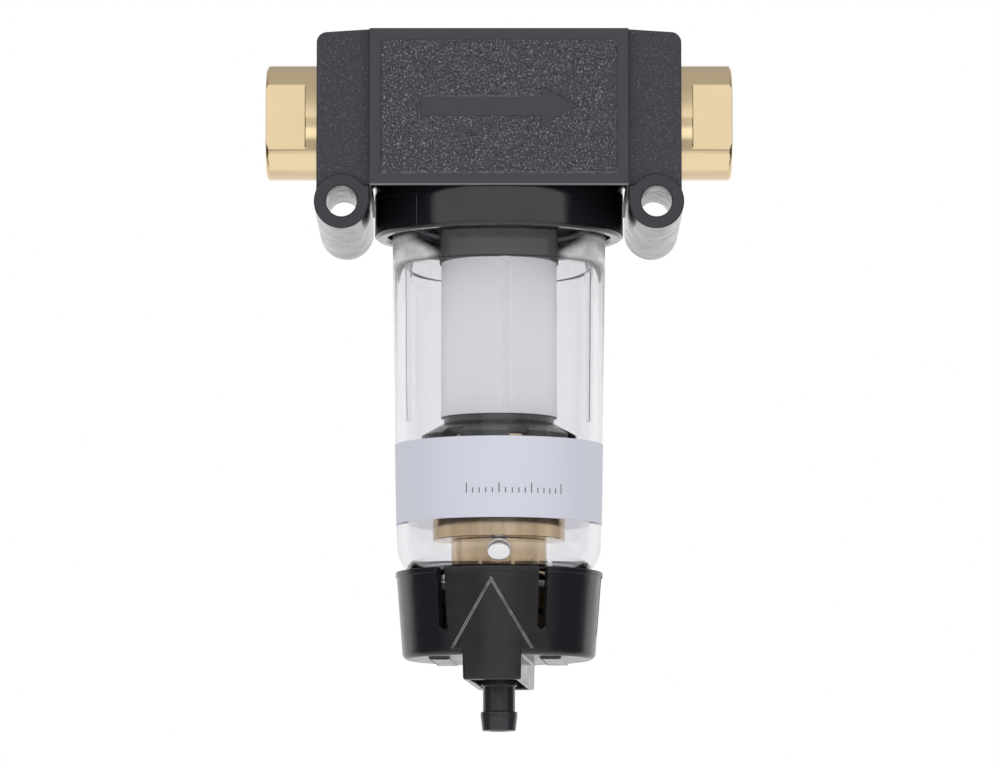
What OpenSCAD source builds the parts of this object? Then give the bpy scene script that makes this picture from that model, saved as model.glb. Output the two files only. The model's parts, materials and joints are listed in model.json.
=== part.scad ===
/* [Ports] */
// Outside diameter of the brass port fittings
port_od = 35; // [32:0.5:40]
// Distance across the two wrench flats of a fitting
port_flats = 29; // [27:0.5:31.5]
// Length of the wrench flats from the open end
flat_len = 12; // [8:0.5:14]
// Length of fitting that shows outside the cover
port_exposed = 16; // [15:0.5:24]
// Minor diameter of the female pipe thread, G 3/4
thread_minor_d = 24.12; // [18:0.02:25]
// Depth of the female pipe thread
thread_depth = 16.3; // [12:0.1:20]
// Diameter of the water ways
flow_d = 18; // [12:0.5:20]
// Length of fitting held inside the head
socket_depth = 17.8; // [14:0.2:21]

/* [Head] */
// Wall of the head around a port fitting
tube_wall = 2.4; // [2:0.1:4]
// Thickness of the head between the port sockets and the bowl
ceiling_wall = 1.6; // [1.4:0.1:4]
// Wall of the head around the bowl thread
head_neck_wall = 2.4; // [2:0.1:4]
// How far the collar stands proud of the neck, on the radius
collar_proud = 1.7; // [1:0.1:3]
// Height of the collar that shows under the cover
collar_h = 11.75; // [8:0.25:13]
// Bevel on the lower edge of the collar
collar_bevel = 0.9; // [0.6:0.1:2]
// Thickness of the plate that lies on the wall
wall_plate_t = 3; // [2:0.1:4]
// Width of the plate that lies on the wall
wall_plate_w = 64; // [56:1:70]
// Width of the block between the wall plate and the port tube
wall_block_w = 40; // [30:1:46]
// Height of the block between the wall plate and the port tube
wall_block_h = 24; // [18:1:30]

/* [Cover] */
// Wall of the cover
cover_wall = 2.2; // [1.8:0.1:3]
// Wall of the cover's roof at the front panel
roof_wall = 2.8; // [2.4:0.1:4]
// How far the roof falls from the front panel to the side of the cover
wing_fall = 1; // [0.4:0.1:1.4]
// Gap between the head's neck and the back of the front panel
panel_gap = 0.6; // [0.4:0.1:1.5]
// How far the front panel laps over the edge of the opening behind it
panel_lap = 0.75; // [0.5:0.05:2]
// Rounding of the cover's upper corners
cover_corner_r = 3.2; // [2:0.1:5]
// Thickness of the front panel, which stands in front of the side wings
panel_step = 2.4; // [1.6:0.1:4]
// Plain border of the front panel around its grained field
field_margin = 3.6; // [2:0.1:6]
// How far the grained field stands proud of its border
field_raise = 0.4; // [0.2:0.05:0.8]
// Length of the flow arrow
arrow_len = 47; // [36:0.5:56]
// Width of the arrow's shaft
arrow_shaft_w = 6; // [4:0.1:8]
// Length of the arrow's head
arrow_head_len = 11; // [8:0.5:14]
// Width of the arrow's head
arrow_head_w = 12.4; // [10:0.2:16]

/* [Wall bosses] */
// Outside diameter of a wall screw boss
boss_od = 16.5; // [14:0.1:20]
// Bore of a wall screw boss
boss_hole_d = 9.2; // [6:0.1:10]
// How far the boss axis lies below the cover
boss_drop = 4.8; // [3:0.1:7]
// How far a boss bulges out past the side of the cover
boss_bulge = 0.7; // [0.2:0.1:1.5]
// How far a boss stands in front of the wing
boss_proud = 1.4; // [0.6:0.1:2.2]
// Length of the bored front part of a boss
boss_bore_len = 38; // [25:1:50]
// Wall of the wider rear part of a boss
boss_shell = 2; // [1.5:0.1:3]

/* [Cover screws] */
// Shank diameter of the screws that hold the cover
screw_d = 3; // [2.5:0.1:4]
// Length of the cover screws
screw_len = 13; // [10:0.5:14]
// Head diameter of the cover screws
screw_head_d = 6; // [5:0.1:7]
// Distance of a cover screw from the edges of the wall plate
screw_edge = 5; // [4.5:0.1:7]
// Diameter of the posts that take the cover screws
screw_post_d = 6.4; // [6:0.1:8]

/* [Bowl] */
// Outside diameter of the bowl below the collar
bowl_od = 64.8; // [60:0.2:72]
// Loss of radius from the collar to the foot of the bowl
bowl_taper = 1.6; // [0.5:0.1:3]
// Length of bowl that shows under the collar
bowl_len = 104.75; // [98:0.25:130]
// Length of the bowl neck inside the collar
bowl_neck_len = 16.5; // [14:0.25:20]
// Wall of the bowl
bowl_wall = 3.2; // [2.5:0.1:4]
// Thickness of the bowl floor
bowl_floor = 4.1; // [3:0.1:6]
// Outside corner radius at the foot of the bowl
bowl_corner_r = 12; // [10:0.5:14]
// How far the thread stands proud of the bowl neck
bowl_thread_h = 0.9; // [0.6:0.05:1.2]
// Distance from one thread ring to the next
bowl_thread_pitch = 3; // [2.5:0.1:3.5]
// Number of thread rings on the bowl neck
bowl_thread_count = 3; // [2:1:3]
// Distance from the collar down to the thick band's edge
band_drop = 8.2; // [5:0.1:12]
// Number of guide ribs inside the bowl
rib_count = 4; // [4:1:12]
// Width of a guide rib
rib_w = 2.6; // [2:0.1:4]
// Height of a guide rib above the wall
rib_h = 1.4; // [1:0.1:2]
// Length of the guide ribs
rib_len = 47; // [30:1:50]
// Turn of the rib pattern when the bowl is tight
rib_turn = 4; // [0:1:20]
// Section diameter of the bowl seal
bowl_seal_d = 2.7; // [2.2:0.1:3.2]
// Height of the label band
label_h = 24.3; // [15:0.1:30]
// Height of the label above the underside of the bowl
label_rise = 17.8; // [15:0.1:24]
// Thickness of the label
label_t = 0.15; // [0.1:0.05:0.3]
// Thickness of the glue under the label
label_glue = 0.03; // [0.02:0.01:0.1]

/* [Filter element] */
// Outside diameter of the screen
screen_od = 35.2; // [34:0.2:40]
// Thickness of the screen cloth
screen_t = 0.4; // [0.3:0.05:0.8]
// Wall of the support frame inside the screen
frame_wall = 1.4; // [1:0.1:2]
// Number of upright bars in the support frame
frame_bars = 8; // [6:1:12]
// Number of hoops between the ends of the support frame
frame_hoops = 4; // [2:1:6]
// Height of a hoop and width of an upright bar
frame_bar_w = 2; // [1.5:0.1:3]
// Height of the top cap
cap_h = 21.4; // [18:0.1:24]
// Thickness of the top cap's roof
cap_roof = 4; // [3:0.1:6]
// How far the top cap grips over the screen
cap_grip = 3; // [2:0.1:4]
// Rim of the top cap around the screen
cap_rim = 0.5; // [0.4:0.1:2]
// Gap between the top cap and the head
cap_gap = 2; // [1:0.1:4]
// Outside diameter of the spigot on the top cap
spigot_od = 22; // [20:0.2:24]
// Length of the spigot inside the head
spigot_len = 11.7; // [10:0.1:12.5]
// Section diameter of the spigot seal
spigot_seal_d = 2; // [1.6:0.1:2.4]
// Diameter of the recess under the screen
recess_d = 33.4; // [32:0.2:34]
// Height of the recess under the screen
recess_h = 1.8; // [1.5:0.1:4]
// Diameter of the flared skirt
skirt_d = 47; // [45:0.5:53]
// Drop of the flared skirt
skirt_drop = 3.9; // [3:0.1:5]
// Height of the skirt's upright rim
skirt_rim_h = 2.6; // [1.5:0.1:4]
// Number of notches in the skirt
notch_count = 7; // [5:1:9]
// Width of a notch
notch_w = 6; // [4:0.2:8]
// Turn of the notch pattern from the front
notch_turn = 15; // [0:0.2:51]
// Depth of the plug that drops into the drain cup
base_plug_h = 4.6; // [3:0.1:8]
// Outside diameter of the magnet sleeve
sleeve_od = 12; // [9:0.2:14]
// Wall of the magnet sleeve
sleeve_wall = 0.9; // [0.6:0.1:1.5]
// Space above the magnet sleeve
sleeve_headroom = 6; // [4:0.5:12]
// Depth of the socket that holds the magnet sleeve
sleeve_socket = 3; // [2:0.1:3.6]

/* [Drain] */
// Outside diameter of the brass drain cup
cup_od = 40; // [38:0.2:42]
// Wall of the drain cup
cup_wall = 2.5; // [1.5:0.1:3]
// Height of the drain cup from its underside to its rim
cup_h = 30.9; // [20:0.1:36]
// Thickness of the bottom of the drain cup
cup_floor = 6; // [5.6:0.1:8]
// Diameter of the drain neck
neck_d = 28.8; // [26:0.2:32]
// Diameter of the drain hole through the neck
drain_hole_d = 7; // [5:0.1:7.4]
// Diameter of the threaded tail
tail_d = 22; // [20.8:0.2:25]
// Thickness of the gasket on the bowl floor
gasket_t = 1.5; // [1:0.1:2.5]
// Thickness of the washer under the bowl
washer_t = 1.4; // [1:0.1:2]
// Diameter of the washer under the bowl
washer_d = 34; // [30:0.5:36]
// Height of the lock nut
nut_h = 7; // [5:0.1:9]
// Distance across the flats of the lock nut
nut_flats = 30; // [28:0.5:32]
// Length of tail below the lock nut
tail_end = 3.4; // [2.6:0.1:5]
// Diameter of the valve plug
plug_d = 16; // [14:0.1:17]
// Section diameter of the plug seals
plug_seal_d = 1.5; // [1.2:0.1:1.8]
// Thickness of the retaining clip
clip_t = 0.9; // [0.7:0.1:1.2]
// Depth of the clip's groove
clip_grip = 1.1; // [0.8:0.1:1.4]

/* [Drain knob] */
// How far the knob's rim stands outside the foot of the bowl
knob_over = 0.2; // [0:0.1:1]
// Height of the knob
knob_h = 26.3; // [23.5:0.1:30]
// Loss of radius from the rim to the foot of the knob
knob_taper = 2; // [1:0.1:3]
// Wall of the knob
knob_wall = 2.2; // [1.8:0.1:2.6]
// Thickness of the knob's floor
knob_floor = 2.6; // [2:0.1:4]
// Rounding of the knob's lower edge
knob_round = 2; // [1:0.1:2.4]
// Height of the bead around the rim
rim_bead_h = 1.6; // [1:0.1:3]
// How far the rim bead stands proud
rim_bead = 0.25; // [0.1:0.05:0.4]
// Number of slots in the knob's wall
slot_count = 6; // [4:2:8]
// Width of a slot
slot_w = 2.9; // [2:0.1:4]
// Length of a slot from the rim
slot_len = 18.7; // [12:0.1:19.5]
// Turn of the knob from the front when the valve is shut
knob_turn = -4.5; // [-15:0.5:15]
// Width of the grip bar under the knob
bar_w = 17.4; // [15.5:0.1:22]
// Height of the grip bar
bar_h = 7.5; // [5:0.1:10]
// Wall of the hollow grip bar
bar_wall = 2; // [1.5:0.1:2.6]
// Half width of the pointer at its base
pointer_half_w = 12.3; // [9:0.1:16]
// Height of the pointer
pointer_h = 21; // [15:0.5:22]
// Width of the ridges that draw the pointer
pointer_w = 0.8; // [0.5:0.1:1.5]
// How far the pointer's ridges stand proud
pointer_raise = 0.3; // [0.2:0.05:0.8]
// Outside diameter of the knob's hub
hub_d = 15.4; // [14.6:0.1:17]
// Height of the hub above the knob's floor
hub_h = 8.3; // [5:0.1:10]
// Distance across the corners of the hexagon drive
drive_d = 12; // [11:0.1:12.4]
// Length of the raised pads under the knob
pad_len = 32; // [15:0.5:36]
// Width of the raised pads under the knob
pad_w = 6; // [4:0.1:8]
// Height of the raised pads under the knob
pad_h = 0.8; // [0.4:0.1:1.2]

/* [Hose barb] */
// Diameter over the hose barb
barb_d = 11.1; // [9:0.1:14]
// Diameter of the barb's tip
barb_tip_d = 10; // [8:0.1:12]
// Diameter of the neck behind the barb
barb_neck_d = 9.7; // [8.4:0.1:10.6]
// Length of the neck behind the barb, below the grip bar
barb_neck_len = 8.2; // [5:0.1:14]
// Length of the straight land on the barb
barb_land = 1.2; // [0.8:0.1:2]
// Length of the barb's tapered tip
barb_tip_len = 4.5; // [3:0.1:7]
// Bore of the hose barb
barb_bore_d = 6; // [4:0.1:6.4]
// Diameter of the barb's stem in the valve plug
barb_stem_d = 9.2; // [8.6:0.1:10]
// Length of the barb's stem in the valve plug
barb_stem_len = 8; // [5:0.1:10]

/* [Fits] */
// Gap between pieces that are pushed together, on the radius
fit_gap = 0.05; // [0.03:0.01:0.1]
// Gap between a cover and what it clears
cover_gap = 0.3; // [0.2:0.05:0.6]
// Gap between a moving piece and its seat
seat_gap = 0.2; // [0.1:0.05:0.4]
// Gap around the bowl's thread, on the radius
thread_gap = 0.3; // [0.25:0.05:0.5]
// Gap above the port tube, under the cover's roof
roof_gap = 0.4; // [0.3:0.1:2]

/* [Hidden] */
$fn = 96;
// Small overlap that keeps cuts and joined shapes clean
eps = 0.05;
// Room beside a seal in its groove
groove_play = 0.3;
// Wall left beside a seal groove at the end of a piece
groove_edge = 1.2;
// How far the wall plate stays inside the port tube's top and foot
plate_inset = 1.5;
// Distance from the bowl's seal groove to its first thread ring
thread_lead = 1.6;
// Roof of the drain body over the valve plug
plug_roof = 1.6;
// Distance from the drain hole to the plug's upper and lower seal grooves
plug_seal_rise = 0.4;
plug_seal_sink = 0.6;
// Wall of the tail below the clip's groove
clip_edge = 0.8;
// How far the foot of the skirt's cone stands above the seat on the drain cup
skirt_lift = 0.3;
// Height of the hexagon's lower end above the foot of the grip bar
drive_rise = 2.8;
// Distance from the hexagon's upper end to the top of the hub
drive_sink = 1;
// How far the barb's collar stands out from its neck
barb_collar_step = 0.6;
// Gap between the grip bar and the pads
pad_gap = 2;

black_grained = [0.10, 0.10, 0.11];
black_gloss = [0.05, 0.05, 0.06];
brass = [0.80, 0.68, 0.46];
rubber_black = [0.04, 0.04, 0.04];
white_cloth = [0.92, 0.92, 0.93];
white_plastic = [0.94, 0.94, 0.93];
steel = [0.72, 0.73, 0.74];
clear_plastic = [0.90, 0.93, 0.95, 0.35];
label_white = [0.86, 0.87, 0.92];

// Heights, from the port axis at zero down to the bowl
port_r = port_od / 2;
socket_r = port_r + fit_gap;
tube_r = socket_r + tube_wall;
flow_r = flow_d / 2;
ceiling_z = -(socket_r + ceiling_wall);
collar_bottom = ceiling_z - bowl_neck_len - seat_gap;
collar_top = collar_bottom + collar_h;
cover_bottom = collar_top + fit_gap;
cover_top = tube_r + roof_gap + roof_wall;
cover_mid = (cover_top + cover_bottom) / 2;

// Radii about the bowl's axis
bowl_r = bowl_od / 2;
thread_bore_r = bowl_r + bowl_thread_h + thread_gap;
head_neck_r = thread_bore_r + head_neck_wall;
collar_r = head_neck_r + collar_proud;
axis_back = collar_r + cover_gap;

// The cover, built out from the head
opening_half = collar_r + cover_gap;
panel_half = opening_half + panel_lap;
boss_r = boss_od / 2;
boss_x = panel_half + boss_r;
cover_half = boss_x + boss_r - boss_bulge;
wing_front = axis_back + head_neck_r + panel_gap;
panel_front = wing_front + panel_step;
boss_front = wing_front + boss_proud;
boss_z = cover_bottom - boss_drop;
boss_back = boss_front - boss_bore_len;
inner_half = cover_half - cover_wall;
boss_open_half = min(boss_r - boss_shell, inner_half - boss_x);
fall_angle = atan(wing_fall / (cover_half - panel_half));
corner_x = cover_half - cover_corner_r;
corner_z = cover_top - (corner_x - panel_half) * tan(fall_angle) - cover_corner_r / cos(fall_angle);
tube_half = cover_half - cover_wall - cover_gap;
socket_end = tube_half - socket_depth;
port_end = cover_half + port_exposed;
port_edge = 0.8;
port_groove_x = socket_end + socket_depth / 2;
port_seal_d = 1.9;

// Cover screws in the corners of the wall plate
wall_plate_half_h = tube_r - plate_inset;
shoulder_top = -wall_plate_half_h - fit_gap;
screw_x = wall_plate_w / 2 - screw_edge;
screw_z = wall_plate_half_h - screw_edge;
screw_head_h = (screw_head_d - screw_d) / 2;

// The bowl
bowl_top = ceiling_z - seat_gap;
bowl_bottom = collar_bottom - bowl_len;
bowl_corner_z = bowl_bottom + bowl_corner_r;
bowl_foot_r = bowl_r - bowl_taper;
bowl_floor_z = bowl_bottom + bowl_floor;
band_z = collar_bottom - band_drop;
band_in_r = bowl_r - bowl_wall - rib_h;
label_bottom = bowl_bottom + label_rise;
bowl_seal_groove = bowl_seal_d + groove_play;
bowl_seal_r = bowl_r + bowl_thread_h - bowl_seal_d / 2;
bowl_seal_z = bowl_top - groove_edge - bowl_seal_groove / 2;
bowl_thread_z = bowl_seal_z - bowl_seal_groove / 2 - thread_lead;
bowl_thread_w = 1.4;

// The drain, built up and down from the bowl's floor
neck_r = neck_d / 2;
cup_r = cup_od / 2;
tail_r = tail_d / 2;
plug_r = plug_d / 2;
plug_bore_r = plug_r + fit_gap;
drain_hole_r = drain_hole_d / 2;
neck_margin = 0.25;
gasket_share = 0.65;
gasket_r = tail_r + gasket_share * (neck_r - tail_r);
neck_bottom = bowl_floor_z + gasket_t;
cup_bottom = neck_bottom + drain_hole_d + 2 * neck_margin;
drain_hole_z = (neck_bottom + cup_bottom) / 2;
cup_rim = cup_bottom + cup_h;
washer_bottom = bowl_bottom - washer_t;
nut_bottom = washer_bottom - nut_h;
tail_bottom = nut_bottom - tail_end;
plug_bore_top = cup_bottom + cup_floor - plug_roof;
plug_top = plug_bore_top - seat_gap;
clip_groove_h = clip_t + 2 * fit_gap;
clip_groove_z = tail_bottom + clip_edge;
clip_z = clip_groove_z + fit_gap;
plug_bottom = clip_groove_z + clip_groove_h;
plug_seal_groove = plug_seal_d + groove_play;
plug_seal_high = cup_bottom + plug_seal_rise + plug_seal_groove / 2;
plug_seal_low = neck_bottom - plug_seal_sink - plug_seal_groove / 2;

// The filter element, between the drain cup and the head
base_seat = cup_rim + seat_gap;
skirt_r = skirt_d / 2;
recess_r = recess_d / 2;
skirt_top = base_seat + skirt_lift + skirt_drop;
screen_bottom = skirt_top + recess_h;
screen_r = screen_od / 2;
frame_r = screen_r - screen_t - fit_gap;
frame_in_r = frame_r - frame_wall;
cap_top = ceiling_z - cap_gap;
cap_bottom = cap_top - cap_h;
cap_r = screen_r + fit_gap + cap_rim;
screen_top = cap_bottom + cap_grip - fit_gap;
screen_len = screen_top - screen_bottom;
spigot_r = spigot_od / 2;
spigot_top = ceiling_z + spigot_len;
spigot_bore_r = spigot_r + cover_gap;
spigot_wall = 2.6;
spigot_seal_z = ceiling_z + spigot_len / 2;
seat_disc_h = 3.8;
sleeve_bottom = screen_bottom + seat_disc_h - sleeve_socket;
sleeve_top = screen_top - sleeve_headroom;
sleeve_r = sleeve_od / 2;
inlet_x = (cap_r + band_in_r) / 2;
inlet_drop_r = (band_in_r - cap_r) / 2;

// The knob, hung from the drain's tail
knob_rim_r = bowl_foot_r + knob_over;
knob_foot_r = knob_rim_r - knob_taper;
hub_top = tail_bottom - seat_gap;
knob_floor_top = hub_top - hub_h;
knob_bottom = knob_floor_top - knob_floor;
knob_rim = knob_bottom + knob_h;
bar_bottom = knob_bottom - bar_h;
drive_bottom = bar_bottom + drive_rise;
drive_top = hub_top - drive_sink;
barb_collar_r = barb_neck_d / 2 + barb_collar_step;
barb_collar_drop = 0.5;
barb_shoulder = bar_bottom - barb_neck_len;
barb_land_bottom = barb_shoulder - barb_land;
barb_end = barb_land_bottom - barb_tip_len;
barb_bore_r = barb_bore_d / 2;

// Radius of the bowl's outer face at a height
function bowl_r_at(z) =
    bowl_r - bowl_taper * (collar_bottom - z) / (collar_bottom - bowl_corner_z);

// Radius of the knob's outer face at a height
function knob_r_at(z) = knob_foot_r + knob_taper * (z - knob_bottom) / knob_h;

// A ring of round section
module torus(ring_r, section_d) {
    rotate_extrude()
        translate([ring_r, 0])
            circle(d = section_d);
}

// A tube between two heights
module tube(outer_r, inner_r, low, high) {
    difference() {
        translate([0, 0, low])
            cylinder(r = outer_r, h = high - low);
        translate([0, 0, low - eps])
            cylinder(r = inner_r, h = high - low + 2 * eps);
    }
}

// A cylinder between two heights
module rod(rod_r, low, high) {
    translate([0, 0, low])
        cylinder(r = rod_r, h = high - low);
}

// A cylinder along X between two places, on the port axis
module cross_rod(rod_r, from, to) {
    translate([from, 0, 0])
        rotate([0, 90, 0])
            cylinder(r = rod_r, h = to - from);
}

// Moves a piece from its own axis to the bowl's axis
module on_axis() {
    translate([0, -axis_back, 0])
        children();
}

// Stands a drawing up, so that it reaches from the wall to a depth in front of it
module from_wall(near, far) {
    translate([0, -near, 0])
        rotate([90, 0, 0])
            linear_extrude(far - near)
                children();
}

// Outline of the cover: a roof that falls to both sides, with round upper corners
module cover_outline() {
    roof_x = corner_x + cover_corner_r * sin(fall_angle);
    roof_z = corner_z + cover_corner_r * cos(fall_angle);
    polygon([
        [-cover_half, cover_bottom],
        [cover_half, cover_bottom],
        [cover_half, corner_z],
        [roof_x, roof_z],
        [panel_half, cover_top],
        [-panel_half, cover_top],
        [-roof_x, roof_z],
        [-cover_half, corner_z]
    ]);
    for (side = [-1, 1])
        translate([side * corner_x, corner_z])
            circle(cover_corner_r);
}

// The flow arrow, pointing along +X
module arrow_outline() {
    shaft_end = arrow_len / 2 - arrow_head_len;
    polygon([
        [-arrow_len / 2, -arrow_shaft_w / 2],
        [shaft_end, -arrow_shaft_w / 2],
        [shaft_end, -arrow_head_w / 2],
        [arrow_len / 2, 0],
        [shaft_end, arrow_head_w / 2],
        [shaft_end, arrow_shaft_w / 2],
        [-arrow_len / 2, arrow_shaft_w / 2]
    ]);
}

// Places a child at both cover screws
module at_screws() {
    for (side = [-1, 1])
        translate([side * screw_x, 0, screw_z])
            rotate([90, 0, 0])
                children();
}

// Everything that is cut out of the cover, which is open at the back, below and behind the front panel
module cover_hollow() {
    port_clear_r = port_r + cover_gap;
    inner_h = cover_top - roof_wall - cover_bottom - cover_wall;
    from_wall(-eps, wing_front - cover_wall)
        translate([-inner_half, cover_bottom + cover_wall])
            square([2 * inner_half, inner_h]);
    from_wall(-eps, wing_front + eps)
        translate([-opening_half, cover_bottom - eps])
            square([2 * opening_half, inner_h + cover_wall + eps]);
    for (side = [-1, 1])
        from_wall(-eps, boss_back)
            translate([side * boss_x - boss_open_half, cover_bottom - eps])
                square([2 * boss_open_half, cover_wall + 2 * eps]);
    on_axis()
        cross_rod(port_clear_r, -cover_half - eps, cover_half + eps);
}

module head_cover() {
    post_back = wall_plate_t + seat_gap;
    post_web_w = 2.4;
    color(black_grained)
    difference() {
        union() {
            difference() {
                from_wall(0, wing_front)
                    cover_outline();
                cover_hollow();
            }
            at_screws() {
                rod(screw_post_d / 2, post_back, post_back + screw_len);
                translate([-post_web_w / 2, 0, post_back])
                    cube([post_web_w, cover_top - roof_wall + eps - screw_z, screw_len]);
            }
        }
        at_screws()
            rod(screw_d / 2 + fit_gap, 0, screw_len + seat_gap);
    }
}

// Grained front panel with the flow arrow left plain in its raised field
module front_panel() {
    color(black_grained) {
        from_wall(wing_front + fit_gap, panel_front)
            translate([-panel_half, cover_bottom])
                square([2 * panel_half, cover_top - cover_bottom]);
        from_wall(panel_front - eps, panel_front + field_raise)
            difference() {
                translate([-panel_half + field_margin, cover_bottom + field_margin])
                    square([2 * (panel_half - field_margin), cover_top - cover_bottom - 2 * field_margin]);
                translate([0, cover_mid])
                    arrow_outline();
            }
    }
}

// A wall screw boss on the +X side, under the cover: front ring, bore and wider rear part, open into the wing
module wall_boss() {
    web_top = cover_bottom - fit_gap;
    difference() {
        union() {
            intersection() {
                from_wall(0, boss_front)
                    union() {
                        translate([boss_x, boss_z])
                            circle(boss_r);
                        translate([panel_half, boss_z])
                            square([cover_half - panel_half, boss_drop]);
                    }
                translate([0, -boss_front, boss_z - boss_r])
                    cube([boss_x + boss_r, boss_front, boss_r + web_top - boss_z]);
            }
            from_wall(wing_front + fit_gap, boss_front)
                translate([boss_x, boss_z])
                    circle(boss_r);
        }
        from_wall(-eps, boss_front + eps)
            translate([boss_x, boss_z])
                circle(d = boss_hole_d);
        from_wall(-eps, boss_back) {
            translate([boss_x, boss_z])
                circle(boss_r - boss_shell);
            translate([boss_x - boss_open_half, boss_z])
                square([2 * boss_open_half, boss_drop + eps]);
        }
    }
}

module wall_boss_right() {
    color(black_grained)
        wall_boss();
}

module wall_boss_left() {
    color(black_grained)
        mirror([1, 0, 0])
            wall_boss();
}

// Plate on the wall, with the saddle that takes the head's port tube
module wall_plate() {
    screw_clear_r = screw_d / 2 + 2 * fit_gap;
    sink_h = screw_head_h + seat_gap;
    color(black_gloss)
        difference() {
            union() {
                translate([-wall_block_w / 2, -axis_back, -wall_block_h / 2])
                    cube([wall_block_w, axis_back - eps, wall_block_h]);
                translate([-wall_plate_w / 2, -wall_plate_t, -wall_plate_half_h])
                    cube([wall_plate_w, wall_plate_t, 2 * wall_plate_half_h]);
            }
            on_axis() {
                cross_rod(tube_r + fit_gap, -tube_half, tube_half);
                rod(head_neck_r + fit_gap, collar_bottom, fit_gap);
            }
            at_screws() {
                rod(screw_clear_r, -eps, wall_plate_t + eps);
                translate([0, 0, -eps])
                    cylinder(r1 = screw_clear_r + sink_h + eps, r2 = screw_clear_r, h = sink_h + eps);
            }
        }
}

// The part of the collar that goes on up inside the cover, cut flat behind the front panel
module collar_shoulder() {
    intersection() {
        rod(collar_r, collar_top - eps, shoulder_top);
        translate([-collar_r, axis_back - wing_front, collar_top - eps])
            cube([2 * collar_r, collar_r + wing_front - axis_back, shoulder_top - collar_top + eps]);
    }
}

// The pressure head: port tube, water ways, thread bore and its collar
module head_body() {
    bevel = collar_bevel;
    lip_r = thread_bore_r + bevel;
    color(black_gloss)
    difference() {
        on_axis() {
            cross_rod(tube_r, -tube_half, tube_half);
            rod(head_neck_r, collar_bottom + bevel, 0);
            rod(collar_r, collar_bottom + bevel, collar_top);
            translate([0, 0, collar_bottom])
                cylinder(r1 = collar_r - bevel, r2 = collar_r, h = bevel);
            collar_shoulder();
        }
        on_axis() {
            rod(thread_bore_r, collar_bottom - eps, ceiling_z);
            translate([0, 0, collar_bottom - eps])
                cylinder(r1 = lip_r, r2 = thread_bore_r, h = bevel);
            rod(spigot_bore_r, ceiling_z - eps, spigot_top + cover_gap);
            rod(flow_r, spigot_top, 0);
            cross_rod(flow_r, 0, tube_half);
            cross_rod(flow_r, -tube_half, -inlet_x);
            translate([-inlet_x, 0, 0])
                rod(inlet_drop_r, ceiling_z - eps, 0);
            cross_rod(socket_r, socket_end, tube_half + eps);
            cross_rod(socket_r, -tube_half - eps, -socket_end);
        }
    }
}

// A brass port fitting on the +X side, with wrench flats, thread and seal groove
module port_fitting() {
    shank_end = socket_end + fit_gap;
    thread_end = port_end - port_edge - thread_depth;
    groove_w = port_seal_d + groove_play;
    difference() {
        union() {
            cross_rod(port_r, shank_end, port_end - port_edge);
            translate([port_end - port_edge, 0, 0])
                rotate([0, 90, 0])
                    cylinder(r1 = port_r, r2 = port_r - port_edge, h = port_edge);
        }
        cross_rod(flow_r, shank_end - eps, port_end);
        cross_rod(thread_minor_d / 2, thread_end, port_end);
        translate([port_end - port_edge, 0, 0])
            rotate([0, 90, 0])
                cylinder(r1 = thread_minor_d / 2, r2 = thread_minor_d / 2 + port_edge + eps,
                    h = port_edge + eps);
        for (side = [-1, 1])
            translate([port_end - flat_len, side * (port_flats + port_od) / 2 - port_od / 2, -port_od])
                cube([flat_len + eps, port_od, 2 * port_od]);
        difference() {
            cross_rod(port_r + eps, port_groove_x - groove_w / 2, port_groove_x + groove_w / 2);
            cross_rod(port_r - port_seal_d, port_groove_x - groove_w, port_groove_x + groove_w);
        }
    }
}

module port_seal() {
    translate([port_groove_x, 0, 0])
        rotate([0, 90, 0])
            torus(port_r - port_seal_d / 2 + fit_gap / 2, port_seal_d);
}

module outlet_port() {
    color(brass)
        on_axis()
            port_fitting();
}

module inlet_port() {
    color(brass)
        on_axis()
            mirror([1, 0, 0])
                port_fitting();
}

module outlet_oring() {
    color(rubber_black)
        on_axis()
            port_seal();
}

module inlet_oring() {
    color(rubber_black)
        on_axis()
            mirror([1, 0, 0])
                port_seal();
}

// Countersunk screws through the wall plate into the cover's posts
module cover_screws() {
    drive_w = 0.9;
    drive_h = 0.9;
    color(steel)
        at_screws()
            difference() {
                union() {
                    translate([0, 0, seat_gap])
                        cylinder(r1 = screw_head_d / 2, r2 = screw_d / 2, h = screw_head_h);
                    rod(screw_d / 2, seat_gap + screw_head_h - eps, screw_len);
                }
                for (turn = [0, 90])
                    rotate(turn)
                        translate([-screw_d / 2, -drive_w / 2, 0])
                            cube([screw_d, drive_w, seat_gap + drive_h]);
            }
}

// Hollow top cap of the element, with the spigot that enters the head
module element_top_cap() {
    groove_r = spigot_r - spigot_seal_d + fit_gap;
    groove_w = spigot_seal_d + seat_gap;
    color(black_gloss)
        on_axis()
            difference() {
                union() {
                    rod(cap_r, cap_bottom, cap_top);
                    rod(spigot_r, cap_top - eps, spigot_top);
                }
                rod(screen_r + fit_gap, cap_bottom - eps, cap_bottom + cap_grip);
                rod(frame_in_r, cap_bottom, cap_top - cap_roof);
                rod(spigot_r - spigot_wall - spigot_seal_d / 2, cap_top - cap_roof - eps, spigot_top + eps);
                tube(spigot_r + eps, groove_r, spigot_seal_z - groove_w / 2, spigot_seal_z + groove_w / 2);
            }
}

module spigot_oring() {
    color(rubber_black)
        on_axis()
            translate([0, 0, spigot_seal_z])
                torus(spigot_r + 2 * fit_gap - spigot_seal_d / 2, spigot_seal_d);
}

module filter_screen() {
    color(white_cloth)
        on_axis()
            tube(screen_r, screen_r - screen_t, screen_bottom + fit_gap, screen_top);
}

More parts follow.
